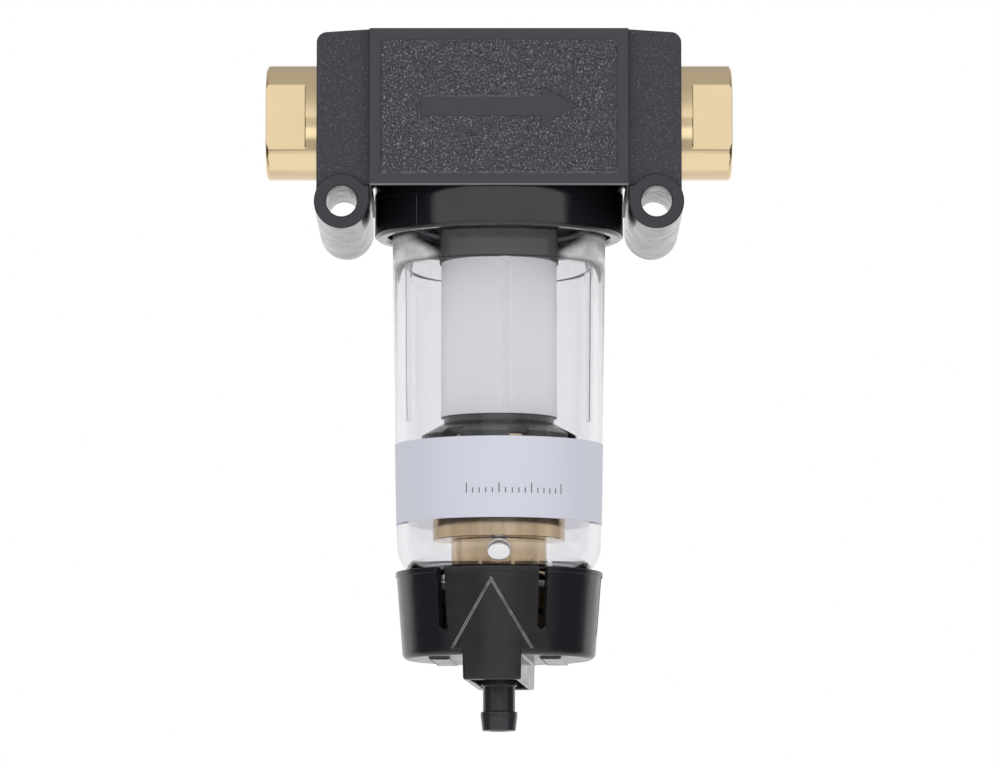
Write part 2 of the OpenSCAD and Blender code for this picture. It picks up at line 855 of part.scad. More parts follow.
// Support cage of upright bars and hoops inside the screen
module screen_frame() {
    frame_low = screen_bottom + fit_gap;
    hoop_step = (screen_len - frame_bar_w) / (frame_hoops + 1);
    color(white_plastic)
        on_axis() {
            for (i = [0 : frame_hoops + 1])
                tube(frame_r, frame_in_r, frame_low + i * hoop_step - (i > 0 ? fit_gap : 0),
                    frame_low + i * hoop_step + frame_bar_w - fit_gap);
            intersection() {
                tube(frame_r, frame_in_r, frame_low, screen_top);
                for (i = [0 : frame_bars - 1])
                    rotate(i * 360 / frame_bars)
                        translate([0, -frame_bar_w / 2, frame_low])
                            cube([screen_r, frame_bar_w, screen_len]);
            }
        }
}

// Base of the element: seat for the screen, recess, flared skirt with notches, plug
module element_base() {
    skirt_low = skirt_top - skirt_drop;
    rim_low = skirt_low - skirt_rim_h;
    skirt_t = 0.9;
    seat_r = cup_r + cover_gap;
    inner_r = seat_r + cover_gap;
    plug_fit_r = cup_r - cup_wall - cover_gap;
    color(black_gloss)
        on_axis()
            difference() {
                rotate_extrude()
                    polygon([
                        [0, screen_bottom + seat_disc_h],
                        [frame_in_r - fit_gap, screen_bottom + seat_disc_h],
                        [frame_in_r - fit_gap, screen_bottom],
                        [recess_r, screen_bottom],
                        [recess_r, skirt_top],
                        [skirt_r, skirt_low],
                        [skirt_r, rim_low],
                        [skirt_r - skirt_t, rim_low],
                        [inner_r, base_seat],
                        [plug_fit_r, base_seat],
                        [plug_fit_r, base_seat - base_plug_h],
                        [0, base_seat - base_plug_h]
                    ]);
                rod(sleeve_r + fit_gap, sleeve_bottom, screen_bottom + seat_disc_h + eps);
                for (i = [0 : notch_count - 1])
                    rotate(notch_turn - 90 + i * 360 / notch_count)
                        translate([inner_r, -notch_w / 2, rim_low - eps])
                            cube([skirt_r, notch_w, skirt_top - rim_low]);
            }
}

// Closed sleeve of thin steel around the magnet
module magnet_sleeve() {
    color(steel)
        on_axis()
            difference() {
                union() {
                    rod(sleeve_r, sleeve_bottom + fit_gap, sleeve_top - sleeve_r);
                    translate([0, 0, sleeve_top - sleeve_r])
                        sphere(sleeve_r);
                }
                rod(sleeve_r - sleeve_wall, sleeve_bottom + sleeve_wall, sleeve_top - sleeve_r);
            }
}

module magnet_rod() {
    color(steel)
        on_axis()
            rod(sleeve_r - sleeve_wall - fit_gap, sleeve_bottom + sleeve_wall + fit_gap,
                sleeve_top - sleeve_r - fit_gap);
}

// Solid of the bowl's outer or inner form, with a round foot
module bowl_form(inset, low) {
    corner = bowl_corner_r - inset;
    foot_r = bowl_foot_r - bowl_corner_r;
    rod(foot_r, low, bowl_corner_z);
    translate([0, 0, bowl_corner_z])
        intersection() {
            torus(foot_r, 2 * corner);
            rod(bowl_r, -(bowl_corner_z - low), eps);
        }
    translate([0, 0, bowl_corner_z])
        cylinder(r1 = bowl_foot_r - inset, r2 = bowl_r - inset, h = collar_bottom - bowl_corner_z);
}

// The clear bowl: neck with thread rings and seal groove, thick band, guide ribs, drain hole
module bowl() {
    color(clear_plastic)
        on_axis()
            difference() {
                union() {
                    difference() {
                        union() {
                            bowl_form(0, bowl_bottom);
                            rod(bowl_r, collar_bottom - eps, bowl_top);
                            for (i = [0 : bowl_thread_count - 1])
                                translate([0, 0, bowl_thread_z - i * bowl_thread_pitch])
                                    rod(bowl_r + bowl_thread_h, -bowl_thread_w, 0);
                            rod(bowl_r + bowl_thread_h / 2, bowl_seal_z - bowl_seal_groove, bowl_top);
                        }
                        bowl_form(bowl_wall, bowl_floor_z);
                        rod(band_in_r, band_z - eps, bowl_top + eps);
                    }
                    bowl_ribs();
                }
                rod(tail_r + fit_gap, bowl_bottom - eps, bowl_floor_z + eps);
                tube(bowl_r + bowl_thread_h, bowl_seal_r - bowl_seal_d / 2 - fit_gap,
                    bowl_seal_z - bowl_seal_groove / 2, bowl_seal_z + bowl_seal_groove / 2);
            }
}

// Guide ribs that hang from the thick band, which fills the wall above them
module bowl_ribs() {
    sink = bowl_wall / 2;
    tube(bowl_r - bowl_wall + eps, band_in_r, band_z, collar_bottom);
    for (i = [0 : rib_count - 1])
        rotate(rib_turn - 90 + i * 360 / rib_count)
            translate([bowl_r_at(band_z - rib_len) - bowl_wall - rib_h, -rib_w / 2, band_z - rib_len])
                cube([rib_h + sink, rib_w, rib_len + eps]);
}

module bowl_oring() {
    color(rubber_black)
        on_axis()
            translate([0, 0, bowl_seal_z])
                torus(bowl_seal_r, bowl_seal_d);
}

// A plain band around the bowl
module label_band() {
    low_r = bowl_r_at(label_bottom) + label_glue;
    high_r = bowl_r_at(label_bottom + label_h) + label_glue;
    color(label_white)
        on_axis()
            translate([0, 0, label_bottom])
                rotate_extrude()
                    polygon([
                        [low_r, 0],
                        [low_r + label_t, 0],
                        [high_r + label_t, label_h],
                        [high_r, label_h]
                    ]);
}

// Turned brass drain: cup under the element, neck with its cross hole, threaded tail
module drain_body() {
    color(brass)
        on_axis()
            difference() {
                union() {
                    rod(cup_r, cup_bottom, cup_rim);
                    rod(neck_r, neck_bottom, cup_bottom + eps);
                    rod(tail_r, tail_bottom, neck_bottom + eps);
                    tube(neck_r, gasket_r + fit_gap, bowl_floor_z + fit_gap, neck_bottom + eps);
                }
                rod(cup_r - cup_wall, cup_bottom + cup_floor, cup_rim + eps);
                rod(plug_bore_r, tail_bottom - eps, plug_bore_top);
                translate([0, 0, drain_hole_z])
                    rotate([90, 0, 0])
                        cylinder(d = drain_hole_d, h = neck_d + 2 * eps, center = true);
                rod(plug_bore_r + clip_grip, clip_groove_z, clip_groove_z + clip_groove_h);
            }
}

module drain_gasket() {
    color(rubber_black)
        on_axis()
            tube(gasket_r, tail_r + fit_gap, bowl_floor_z, neck_bottom);
}

module drain_washer() {
    color(white_plastic)
        on_axis()
            tube(washer_d / 2, tail_r + fit_gap, washer_bottom, bowl_bottom);
}

module drain_locknut() {
    nut_corner_r = nut_flats / 2 / cos(30);
    color(brass)
        on_axis()
            difference() {
                translate([0, 0, nut_bottom])
                    cylinder(r = nut_corner_r, h = nut_h, $fn = 6);
                rod(tail_r + fit_gap, nut_bottom - eps, washer_bottom + eps);
            }
}

// Snap ring in the tail that holds the valve plug up
module retaining_clip() {
    clip_reach = 1.5;
    clip_in_r = plug_r - clip_reach;
    clip_gap_w = 4;
    color(steel)
        on_axis()
            difference() {
                tube(plug_bore_r + clip_grip - fit_gap, clip_in_r, clip_z, clip_z + clip_t);
                translate([0, -clip_gap_w / 2, clip_z - eps])
                    cube([plug_d, clip_gap_w, clip_t + 2 * eps]);
            }
}

// Rotary valve plug, open: cross way in line with the drain hole, water way down, seal grooves, barb socket
module valve_plug() {
    groove_r = plug_r - plug_seal_d;
    color(white_plastic)
        on_axis()
            difference() {
                rod(plug_r, plug_bottom, plug_top);
                translate([0, 0, drain_hole_z])
                    rotate([90, 0, 0])
                        cylinder(r = drain_hole_r, h = plug_d + 2 * eps, center = true);
                rod(barb_bore_r, plug_bottom - eps, drain_hole_z);
                rod(barb_stem_d / 2 + fit_gap, plug_bottom - eps, plug_bottom + barb_stem_len + seat_gap);
                for (z = [plug_seal_high, plug_seal_low])
                    tube(plug_r + eps, groove_r, z - plug_seal_groove / 2, z + plug_seal_groove / 2);
            }
}

module plug_orings() {
    color(rubber_black)
        on_axis()
            for (z = [plug_seal_high, plug_seal_low])
                translate([0, 0, z])
                    torus(plug_r - plug_seal_d / 2 + fit_gap / 4, plug_seal_d);
}

// Hose barb with the hexagon that the knob drives and the stem in the plug
module hose_barb() {
    color(black_gloss)
        on_axis()
            difference() {
                union() {
                    rod(barb_stem_d / 2, drive_top - eps, plug_bottom + barb_stem_len);
                    rotate(knob_turn)
                        translate([0, 0, drive_bottom - seat_gap])
                            cylinder(d = drive_d, h = drive_top - drive_bottom + seat_gap, $fn = 6);
                    rod(barb_collar_r, bar_bottom - barb_collar_drop, drive_bottom - fit_gap);
                    rod(barb_neck_d / 2, barb_shoulder - eps, bar_bottom);
                    rod(barb_d / 2, barb_land_bottom, barb_shoulder);
                    translate([0, 0, barb_end])
                        cylinder(d1 = barb_tip_d, d2 = barb_d, h = barb_tip_len);
                }
                rod(barb_bore_r, barb_end - eps, plug_bottom + barb_stem_len + eps);
            }
}

// Tapered wall of the knob, with its round lower edge
module knob_form() {
    wall_low = knob_bottom + knob_round;
    low_r = knob_r_at(wall_low);
    translate([0, 0, wall_low])
        cylinder(r1 = low_r, r2 = knob_rim_r, h = knob_h - knob_round);
    translate([0, 0, wall_low])
        torus(low_r - knob_round, 2 * knob_round);
    rod(low_r - knob_round, knob_bottom, wall_low);
    rod(knob_rim_r + rim_bead, knob_rim - rim_bead_h, knob_rim);
}

// Everything that is cut out of the knob
module knob_hollow() {
    slot_bottom = knob_rim - slot_len + slot_w / 2;
    bar_in_w = bar_w - 2 * bar_wall;
    bar_in_len = 2 * (knob_foot_r - bar_wall - knob_round);
    translate([0, 0, knob_floor_top])
        cylinder(r1 = knob_foot_r - knob_wall, r2 = knob_rim_r - knob_wall, h = knob_h);
    for (i = [0 : slot_count - 1])
        rotate((i + 0.5) * 360 / slot_count - 90) {
            translate([knob_foot_r / 2, -slot_w / 2, slot_bottom])
                cube([knob_foot_r, slot_w, slot_len]);
            translate([knob_foot_r / 2, 0, slot_bottom])
                rotate([0, 90, 0])
                    cylinder(d = slot_w, h = knob_foot_r);
        }
    translate([-bar_in_w / 2, -bar_in_len / 2, bar_bottom - eps])
        cube([bar_in_w, bar_in_len, bar_h + eps]);
}

// Cone that carries on the taper of the knob's wall between two heights
module knob_cone(raise, low, high) {
    translate([0, 0, low])
        cylinder(r1 = knob_r_at(low) + raise, r2 = knob_r_at(high) + raise, h = high - low);
}

// Grip bar across the underside, the pointer's ridges on its front, and the raised pads
module knob_grip() {
    bar_top = knob_bottom + knob_round;
    pointer_low = knob_bottom + knob_round;
    intersection() {
        knob_cone(0, bar_bottom, bar_top);
        translate([-bar_w / 2, -knob_rim_r, bar_bottom])
            cube([bar_w, 2 * knob_rim_r, bar_top - bar_bottom]);
    }
    intersection() {
        knob_cone(pointer_raise, pointer_low, pointer_low + pointer_h);
        translate([0, 0, pointer_low])
            from_wall(knob_foot_r / 2, 2 * knob_rim_r)
                for (side = [-1, 1])
                    polygon([
                        [side * pointer_half_w, 0],
                        [0, pointer_h],
                        [0, pointer_h - pointer_w * pointer_h / pointer_half_w],
                        [side * (pointer_half_w - pointer_w), 0]
                    ]);
    }
    for (side = [-1, 1])
        translate([side * (bar_w / 2 + pad_w + pad_gap) - pad_w / 2, -pad_len / 2, knob_bottom - pad_h])
            cube([pad_w, pad_len, pad_h + eps]);
}

module drain_knob() {
    color(black_gloss)
        on_axis()
            rotate(knob_turn)
                difference() {
                    union() {
                        difference() {
                            union() {
                                knob_form();
                                knob_grip();
                            }
                            knob_hollow();
                        }
                        rod(hub_d / 2, drive_bottom, hub_top);
                    }
                    translate([0, 0, drive_bottom - eps])
                        cylinder(d = drive_d + 2 * fit_gap, h = hub_top - drive_bottom + 2 * eps, $fn = 6);
                }
}

head_cover();
front_panel();
wall_boss_left();
wall_boss_right();
wall_plate();
head_body();
inlet_port();
outlet_port();
inlet_oring();
outlet_oring();
cover_screws();
element_top_cap();
spigot_oring();
filter_screen();
screen_frame();
element_base();
magnet_sleeve();
magnet_rod();
bowl();
bowl_oring();
label_band();
drain_body();
drain_gasket();
drain_washer();
drain_locknut();
retaining_clip();
valve_plug();
plug_orings();
hose_barb();
drain_knob();
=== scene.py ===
"""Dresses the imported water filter: clear bowl, threads, materials, studio and camera."""
import json
import math

import bmesh
import bpy
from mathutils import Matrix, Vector


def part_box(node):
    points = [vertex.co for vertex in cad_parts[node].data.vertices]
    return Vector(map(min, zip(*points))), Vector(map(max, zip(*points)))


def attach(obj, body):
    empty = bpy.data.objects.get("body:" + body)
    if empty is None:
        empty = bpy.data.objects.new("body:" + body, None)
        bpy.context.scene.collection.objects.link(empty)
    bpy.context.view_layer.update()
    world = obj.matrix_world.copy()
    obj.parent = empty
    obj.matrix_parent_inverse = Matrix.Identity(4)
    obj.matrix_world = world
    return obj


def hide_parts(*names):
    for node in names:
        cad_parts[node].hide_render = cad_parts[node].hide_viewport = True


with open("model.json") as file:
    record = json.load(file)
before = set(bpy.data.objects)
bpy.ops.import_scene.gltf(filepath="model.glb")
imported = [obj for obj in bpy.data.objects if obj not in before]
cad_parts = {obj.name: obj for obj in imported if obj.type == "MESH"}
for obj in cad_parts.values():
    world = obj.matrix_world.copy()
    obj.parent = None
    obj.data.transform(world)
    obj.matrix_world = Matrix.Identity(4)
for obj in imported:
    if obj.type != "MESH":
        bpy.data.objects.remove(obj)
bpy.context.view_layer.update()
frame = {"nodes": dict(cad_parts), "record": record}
NODES = frame["nodes"]
MM = 0.001

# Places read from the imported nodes, in metres
PANEL_LO, PANEL_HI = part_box("front_panel")
BOWL_LO, BOWL_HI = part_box("bowl")
LABEL_LO, LABEL_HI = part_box("label_band")
HEAD_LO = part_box("head_body")[0]
KNOB_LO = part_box("drain_knob")[0]
BOSS_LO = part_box("wall_boss_left")[0]
SCREEN_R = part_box("filter_screen")[1].x
AXIS_Y = (BOWL_LO.y + BOWL_HI.y) / 2

# Cover and collar
FIELD_RAISE = 0.4 * MM
FIELD_MARGIN = 3.6 * MM
# FIELD_LINE, FOOT_LINE and RIM_LIGHT: width and strength of the painted highlight lines on the panel's edges
FIELD_LINE = 0.16 * MM
FOOT_LINE = 0.18 * MM
RIM_LIGHT = 0.45
GRAIN_SIZE = 0.5 * MM
WING_GRAIN = 0.3
ARROW_TOP = (PANEL_LO.z + PANEL_HI.z) / 2 + 3 * MM
ARROW_HALF = 23.5 * MM
ARROW_HEAD = 11 * MM
# ARROW_LINE: width of the painted highlight along the arrow's upper edge
ARROW_LINE = 0.13 * MM
COLLAR_BOTTOM = HEAD_LO.z
COLLAR_R = AXIS_Y - HEAD_LO.y
COLLAR_BEVEL = 0.9 * MM
SEAM_ANGLE = math.radians(-131)
SEAM_W = 0.3 * MM
SEAM_H = 0.06 * MM
SEAM_SINK = 0.005 * MM

# Bowl
NECK_THREAD_H = 0.9 * MM
NECK_THREAD_PITCH = 3 * MM
NECK_THREAD_W = 1.4 * MM
NECK_THREAD_TOP = BOWL_HI.z - 5.8 * MM
NECK_THREAD_LEN = 7.4 * MM
NECK_THREAD_END = 0.8 * MM
NECK_LIP_H = 0.45 * MM
NECK_LIP_LEN = 5.7 * MM
SEAL_GROOVE_TOP = BOWL_HI.z - 1.2 * MM
SEAL_GROOVE_LEN = 3 * MM
SEAL_GROOVE_D = 1.85 * MM
BOWL_R = (BOWL_HI.x - BOWL_LO.x) / 2 - NECK_THREAD_H
BOWL_TAPER = 1.6 * MM
BOWL_CORNER = 12 * MM
BOWL_WALL = 3.2 * MM
BOWL_FLOOR = 4.1 * MM
DRAIN_HOLE_R = 11.05 * MM
CORNER_Z = BOWL_LO.z + BOWL_CORNER
BAND_Z = COLLAR_BOTTOM - 8.2 * MM
BAND_ROUND = 0.5 * MM
RIB_COUNT = 4
RIB_TURN = math.radians(4 - 90)
RIB_W = 2.6 * MM
RIB_H = 1.4 * MM
RIB_LEN = 47 * MM
RIB_EDGE = 0.14 * MM
HAZE = 0.9

# Screen and label; the label's scale counts its ticks from the front
SCREEN_PITCH = 0.5 * MM
TICK_STEP = 2 * MM
TICK_SHORT = 1.6 * MM
TICK_LONG = 3.0 * MM
TICK_FOOT = LABEL_LO.z + 7.3 * MM
TICK_HALF_W = 0.08
TICKS_FROM = -5.2
TICKS_TO = 10.2

# Ports
PORT_BORE_R = 12.06 * MM
PORT_BORE_GAP = 0.03 * MM
PORT_EDGE = 0.8 * MM
PORT_ROUND = 0.3 * MM
PORT_THREAD_PITCH = 1.814 * MM
PORT_THREAD_H = 1.16 * MM

# Knob
KNOB_TURN = math.radians(-4.5)
GRIP_BAR_TOP = KNOB_LO.z + 8.2 * MM
POINTER_LOW = KNOB_LO.z + 9.5 * MM
POINTER_H = 21 * MM
POINTER_HALF = 12.3 * MM
POINTER_W = 0.8 * MM
# POINTER_LINE and POINTER_FADE: width and fade of the pointer's painted highlight lines
POINTER_LINE = 0.08 * MM
POINTER_FADE = 0.26 * MM

# Edges: angles that count as sharp and as flat, and the nodes' rounding in mm
SHARP = math.radians(32)
SHARP_NEW = math.radians(35)
FLAT = math.radians(0.4)
WELD_GAP = 0.001 * MM
EDGE_WIDTHS = {"front_panel": 0.4, "wall_boss_left": 0.5, "wall_boss_right": 0.5, "drain_knob": 0.7,
               "head_cover": 0.5, "wall_plate": 0.4, "head_body": 0.35, "hose_barb": 0.25, "drain_body": 0.3,
               "element_base": 0.2, "element_top_cap": 0.3, "drain_locknut": 0.3, "drain_washer": 0.15,
               "valve_plug": 0.15}

# Steps of the new meshes: round the bowl, down its neck, round its corners, per turn of pipe thread
BOWL_STEPS = 160
NECK_STEPS = 44
CORNER_STEPS = 18
INNER_CORNER_STEPS = 14
BAND_STEPS = 4
RIB_STEPS = 8
PORT_THREAD_STEPS = 24

# Camera, fitted to the photograph
PHOTO_W = 1000
SENSOR_W = 36
FOCAL_PX = 6560
CAMERA_X = 0.3 * MM
CAMERA_BACK = 1.9768
CAMERA_Z = -0.2894
CAMERA_TILT = math.radians(6.08)

# Studio: each lamp's name, place, width, height and watts
LAMPS = (("front", (0, -2.3, 0.55), 0.9, 1.1, 6),
         ("left", (-1.7, -1.3, 0.35), 1.3, 1.6, 12),
         ("right", (1.7, -1.3, 0.35), 1.3, 1.6, 12))
LAMP_TARGET = (0, AXIS_Y, -0.08)
FLOOR_Z = -0.36
FLOOR_HALF = 12.0
FLOOR_REACH = 2.0
WORLD_LEVEL = 0.5
INSIDE_LIGHT = 0.5
GAP_LEVEL = 0.22
POOL_LEVEL = 0.45


def soft(start, end, value):
    """Smooth step from 0 at start to 1 at end."""
    share = min(max((value - start) / (end - start), 0.0), 1.0)
    return share * share * (3 - 2 * share)


def spread(start, end, steps):
    return [start + (end - start) * i / steps for i in range(steps + 1)]


def add(tree, kind, inputs=None, **settings):
    """Adds a node, and links or sets its inputs by name or number."""
    made = tree.nodes.new(kind)
    for key, value in settings.items():
        setattr(made, key, value)
    for key, value in (inputs or {}).items():
        socket = made.inputs[key]
        if isinstance(value, bpy.types.NodeSocket):
            tree.links.new(value, socket)
        else:
            socket.default_value = value
    return made


def calc(tree, operation, a, b=0.0):
    return add(tree, "ShaderNodeMath", {0: a, 1: b}, operation=operation).outputs[0]


def product(tree, first, *others):
    for other in others:
        first = calc(tree, "MULTIPLY", first, other)
    return first


def ramp(tree, value, low, high, to_low=0.0, to_high=1.0):
    """Smooth step of a socket's value between two levels."""
    made = add(tree, "ShaderNodeMapRange", {"Value": value, "From Min": low, "From Max": high,
                                           "To Min": to_low, "To Max": to_high},
               interpolation_type="SMOOTHSTEP")
    return made.outputs["Result"]


def mix_color(tree, factor, a, b):
    """Mixes two colours, each a tuple or a socket."""
    made = add(tree, "ShaderNodeMix", data_type="RGBA")
    inputs = {socket.identifier: socket for socket in made.inputs}
    tree.links.new(factor, inputs["Factor_Float"])
    for key, value in (("A_Color", a), ("B_Color", b)):
        if isinstance(value, bpy.types.NodeSocket):
            tree.links.new(value, inputs[key])
        else:
            inputs[key].default_value = (*value, 1.0)
    return {socket.identifier: socket for socket in made.outputs}["Result_Color"]


def new_material(name):
    """A material with one Principled shader. Returns it, its tree and its shader."""
    material = bpy.data.materials.new(name)
    material.use_nodes = True
    tree = material.node_tree
    return material, tree, tree.nodes["Principled BSDF"]


def object_coords(tree):
    return add(tree, "ShaderNodeTexCoord").outputs["Object"]


def split(tree, coords):
    return add(tree, "ShaderNodeSeparateXYZ", {"Vector": coords}).outputs


def stretch(tree, coords, scale):
    return add(tree, "ShaderNodeMapping", {"Vector": coords, "Scale": scale}).outputs["Vector"]


def noise(tree, coords, size, detail=3.0, rough=0.5, distortion=0.0):
    """Noise whose largest specks are about size metres across."""
    made = add(tree, "ShaderNodeTexNoise", {"Vector": coords, "Scale": 1 / size, "Detail": detail,
                                            "Roughness": rough, "Distortion": distortion})
    return made.outputs["Fac"]


def bump(tree, shader, height, depth, strength=1.0):
    made = add(tree, "ShaderNodeBump", {"Height": height, "Distance": depth, "Strength": strength})
    tree.links.new(made.outputs["Normal"], shader.inputs["Normal"])


def tint(tree, shader, factor, dark, light):
    """Base colour between two tones. Returns its socket."""
    color = mix_color(tree, factor, dark, light)
    tree.links.new(color, shader.inputs["Base Color"])
    return color


def roughen(tree, shader, factor, low, high):
    tree.links.new(ramp(tree, factor, 0.3, 0.7, low, high), shader.inputs["Roughness"])


def from_axis(tree, across, depth):
    """Distance from the bowl's axis."""
    square = calc(tree, "ADD", calc(tree, "POWER", across, 2), calc(tree, "POWER", depth, 2))
    return calc(tree, "SQRT", square)


def near(tree, value, level, width):
    """1 where a value is within width of a level, fading to 0 at twice that."""
    off = calc(tree, "ABSOLUTE", calc(tree, "SUBTRACT", value, level))
    return ramp(tree, off, 2 * width, width)


def cover_edge_highlights(tree, coords):
    """Mask of painted highlights on the panel's edges: its foot, and in broken dashes the field's lower and
    the arrow's upper edge.
    """
    place = split(tree, coords)
    foot = near(tree, place["Z"], PANEL_LO.z, FOOT_LINE)
    in_field = calc(tree, "LESS_THAN", calc(tree, "ABSOLUTE", place["X"]), PANEL_HI.x - FIELD_MARGIN)
    lower = product(tree, near(tree, place["Z"], PANEL_LO.z + FIELD_MARGIN, FIELD_LINE), in_field)
    shaft = product(tree, near(tree, place["Z"], ARROW_TOP, ARROW_LINE),
                    calc(tree, "GREATER_THAN", place["X"], -ARROW_HALF),
                    calc(tree, "LESS_THAN", place["X"], ARROW_HALF - ARROW_HEAD))
    # noise breaks the painted highlight lines into dashes
    highlight_breaks = ramp(tree, noise(tree, coords, 1.2 * MM, detail=2), 0.4, 0.6, 0.2, 1.0)
    rims = product(tree, calc(tree, "MAXIMUM", lower, shaft), highlight_breaks, RIM_LIGHT)
    on_panel = calc(tree, "LESS_THAN", place["Y"], PANEL_HI.y)
    return product(tree, calc(tree, "MAXIMUM", foot, rims), on_panel)


def grained_black():
    """Moulded cover: pits and peaks on the front field, fainter ones on the wings, border and arrow plain.
    The peaks' light grey is a painted glint, and the edge lines are a painted highlight.
    """
    material, tree, shader = new_material("grained_black")
    coords = object_coords(tree)
    depth = split(tree, coords)["Y"]
    on_field = calc(tree, "LESS_THAN", depth, PANEL_LO.y + FIELD_RAISE / 2)
    on_wing = calc(tree, "GREATER_THAN", depth, PANEL_HI.y)
    share = calc(tree, "ADD", on_field, product(tree, on_wing, WING_GRAIN))
    skin = noise(tree, coords, GRAIN_SIZE, detail=1, rough=0.5, distortion=0.6)
    glint_peaks = product(tree, ramp(tree, skin, 0.54, 0.76), share)
    pits = product(tree, ramp(tree, skin, 0.48, 0.34), share)
    plain = mix_color(tree, on_wing, (0.043, 0.0418, 0.0525), (0.034, 0.0332, 0.042))
    pitted = mix_color(tree, pits, plain, (0.012, 0.0118, 0.015))
    # light grey on the peaks is a painted glint, and on the panel's edge lines a painted highlight
    tint(tree, shader, calc(tree, "MAXIMUM", glint_peaks, cover_edge_highlights(tree, coords)), pitted, (0.29, 0.287, 0.30))
    tree.links.new(ramp(tree, glint_peaks, 0, 1, 0.46, 0.34), shader.inputs["Roughness"])
    bump(tree, shader, glint_peaks, 0.10 * MM)
    return material


def plain_black(name, dark, light, low_rough, high_rough, highlight_mask=None, ior=1.5):
    """Smooth moulded black with faint flow marks in its gloss, and a painted highlight where a mask gives it.
    """
    material, tree, shader = new_material(name)
    shader.inputs["IOR"].default_value = ior
    coords = object_coords(tree)
    color = tint(tree, shader, noise(tree, coords, 14 * MM, detail=4), dark, light)
    # light grey where the mask gives it is a painted highlight
    if highlight_mask:
        tint(tree, shader, highlight_mask(tree, coords), color, (0.50, 0.50, 0.52))
    roughen(tree, shader, noise(tree, coords, 5 * MM, detail=6, rough=0.65), low_rough, high_rough)
    bump(tree, shader, noise(tree, coords, 0.9 * MM), 0.006 * MM)
    return material


def pointer_highlight(tree, coords):
    """Mask of painted highlights along the two edges of each ridge that draws the knob's pointer."""
    place = split(tree, coords)
    depth = calc(tree, "SUBTRACT", place["Y"], AXIS_Y)
    across = calc(tree, "ADD", calc(tree, "MULTIPLY", place["X"], math.cos(KNOB_TURN)),
                  calc(tree, "MULTIPLY", depth, math.sin(KNOB_TURN)))
    slope = POINTER_H / POINTER_HALF
    up = calc(tree, "SUBTRACT", place["Z"], POINTER_LOW)
    level = calc(tree, "ADD", calc(tree, "MULTIPLY", calc(tree, "ABSOLUTE", across), slope), up)
    ridge_half = POINTER_W * slope / 2
    from_ridge = calc(tree, "ABSOLUTE", calc(tree, "SUBTRACT", level, POINTER_H - ridge_half))
    from_edge = calc(tree, "ABSOLUTE", calc(tree, "SUBTRACT", from_ridge, 0.75 * ridge_half))
    line = ramp(tree, from_edge, POINTER_FADE, POINTER_LINE)
    above_foot = calc(tree, "GREATER_THAN", up, -0.1 * MM)
    in_front = calc(tree, "LESS_THAN", depth, 0.0)
    # noise breaks the painted highlight lines
    highlight_breaks = ramp(tree, noise(tree, coords, 3 * MM), 0.3, 0.65, 0.35, 1.0)
    return product(tree, line, above_foot, in_front, highlight_breaks)


def brass(name, dark, light, tool_scale, drift_scale=(1.0, 1.0, 1.0)):
    """Turned brass: fine tool lines round the turning axis, soft drift of tone; drift_scale can stretch the
    drift into streaks of painted highlight.
    """
    material, tree, shader = new_material(name)
    coords = object_coords(tree)
    shader.inputs["Metallic"].default_value = 1.0
    drift = noise(tree, stretch(tree, coords, drift_scale), 9 * MM, detail=4)
    tint(tree, shader, drift, dark, light)
    lines = noise(tree, stretch(tree, coords, tool_scale), 0.3 * MM, detail=4, rough=0.7)
    roughen(tree, shader, lines, 0.11, 0.18)
    bump(tree, shader, lines, 0.0015 * MM)
    return material


def neck_haze(tree, coords):
    """Mask of the milky flow marks on the front's left and right of the thick band, wider at its foot."""
    place = split(tree, coords)
    lean = ramp(tree, place["Z"], BAND_Z + 7 * MM, BAND_Z + 0.5 * MM, 0.0, 7 * MM)
    off = calc(tree, "ADD", calc(tree, "ABSOLUTE", place["X"]), lean)
    flow = noise(tree, stretch(tree, coords, (1.0, 1.0, 2.0)), 6 * MM)
    return product(tree, ramp(tree, off, BOWL_R - 9 * MM, BOWL_R - 3 * MM),
                   ramp(tree, place["Y"], AXIS_Y + 5 * MM, AXIS_Y - 1 * MM),
                   ramp(tree, place["Z"], BAND_Z - 1.5 * MM, BAND_Z + 1 * MM),
                   ramp(tree, place["Z"], COLLAR_BOTTOM + 0.5 * MM, COLLAR_BOTTOM - 1.5 * MM),
                   ramp(tree, flow, 0.3, 0.7, 0.75, 1.0))


def neck_frost(tree, coords):
    """Roughness of the bowl's outer face: frosted inside the collar, faintly so just below it."""
    place = split(tree, coords)
    depth = calc(tree, "SUBTRACT", place["Y"], AXIS_Y)
    outside = calc(tree, "GREATER_THAN", from_axis(tree, place["X"], depth), BOWL_R - 0.5 * MM)
    level = calc(tree, "ADD", ramp(tree, place["Z"], BAND_Z, COLLAR_BOTTOM, 0.0, 0.08),
                 ramp(tree, place["Z"], COLLAR_BOTTOM, COLLAR_BOTTOM + 0.4 * MM, 0.0, 0.32))
    return calc(tree, "MULTIPLY", outside, level)


def clear_plastic():
    """Clear moulding with a faint grey cast, a faint waviness and milky marks at the neck."""
    material, tree, shader = new_material("clear_plastic")
    coords = object_coords(tree)
    clear = calc(tree, "SUBTRACT", 1.0, product(tree, neck_haze(tree, coords), HAZE))
    tree.links.new(clear, shader.inputs["Transmission Weight"])
    shader.inputs["IOR"].default_value = 1.49
    tint(tree, shader, noise(tree, coords, 30 * MM, detail=4), (0.955, 0.953, 0.962), (0.975, 0.973, 0.98))
    haze = ramp(tree, noise(tree, coords, 3 * MM, detail=5), 0.35, 0.75, 0.0, 0.04)
    tree.links.new(calc(tree, "MAXIMUM", haze, neck_frost(tree, coords)), shader.inputs["Roughness"])
    depth = add(tree, "ShaderNodeVolumeAbsorption", {"Color": (0.90, 0.895, 0.915, 1), "Density": 150.0})
    tree.links.new(depth.outputs[0], tree.nodes["Material Output"].inputs["Volume"])
    bump(tree, shader, noise(tree, coords, 9 * MM, detail=2), 0.01 * MM)
    return material


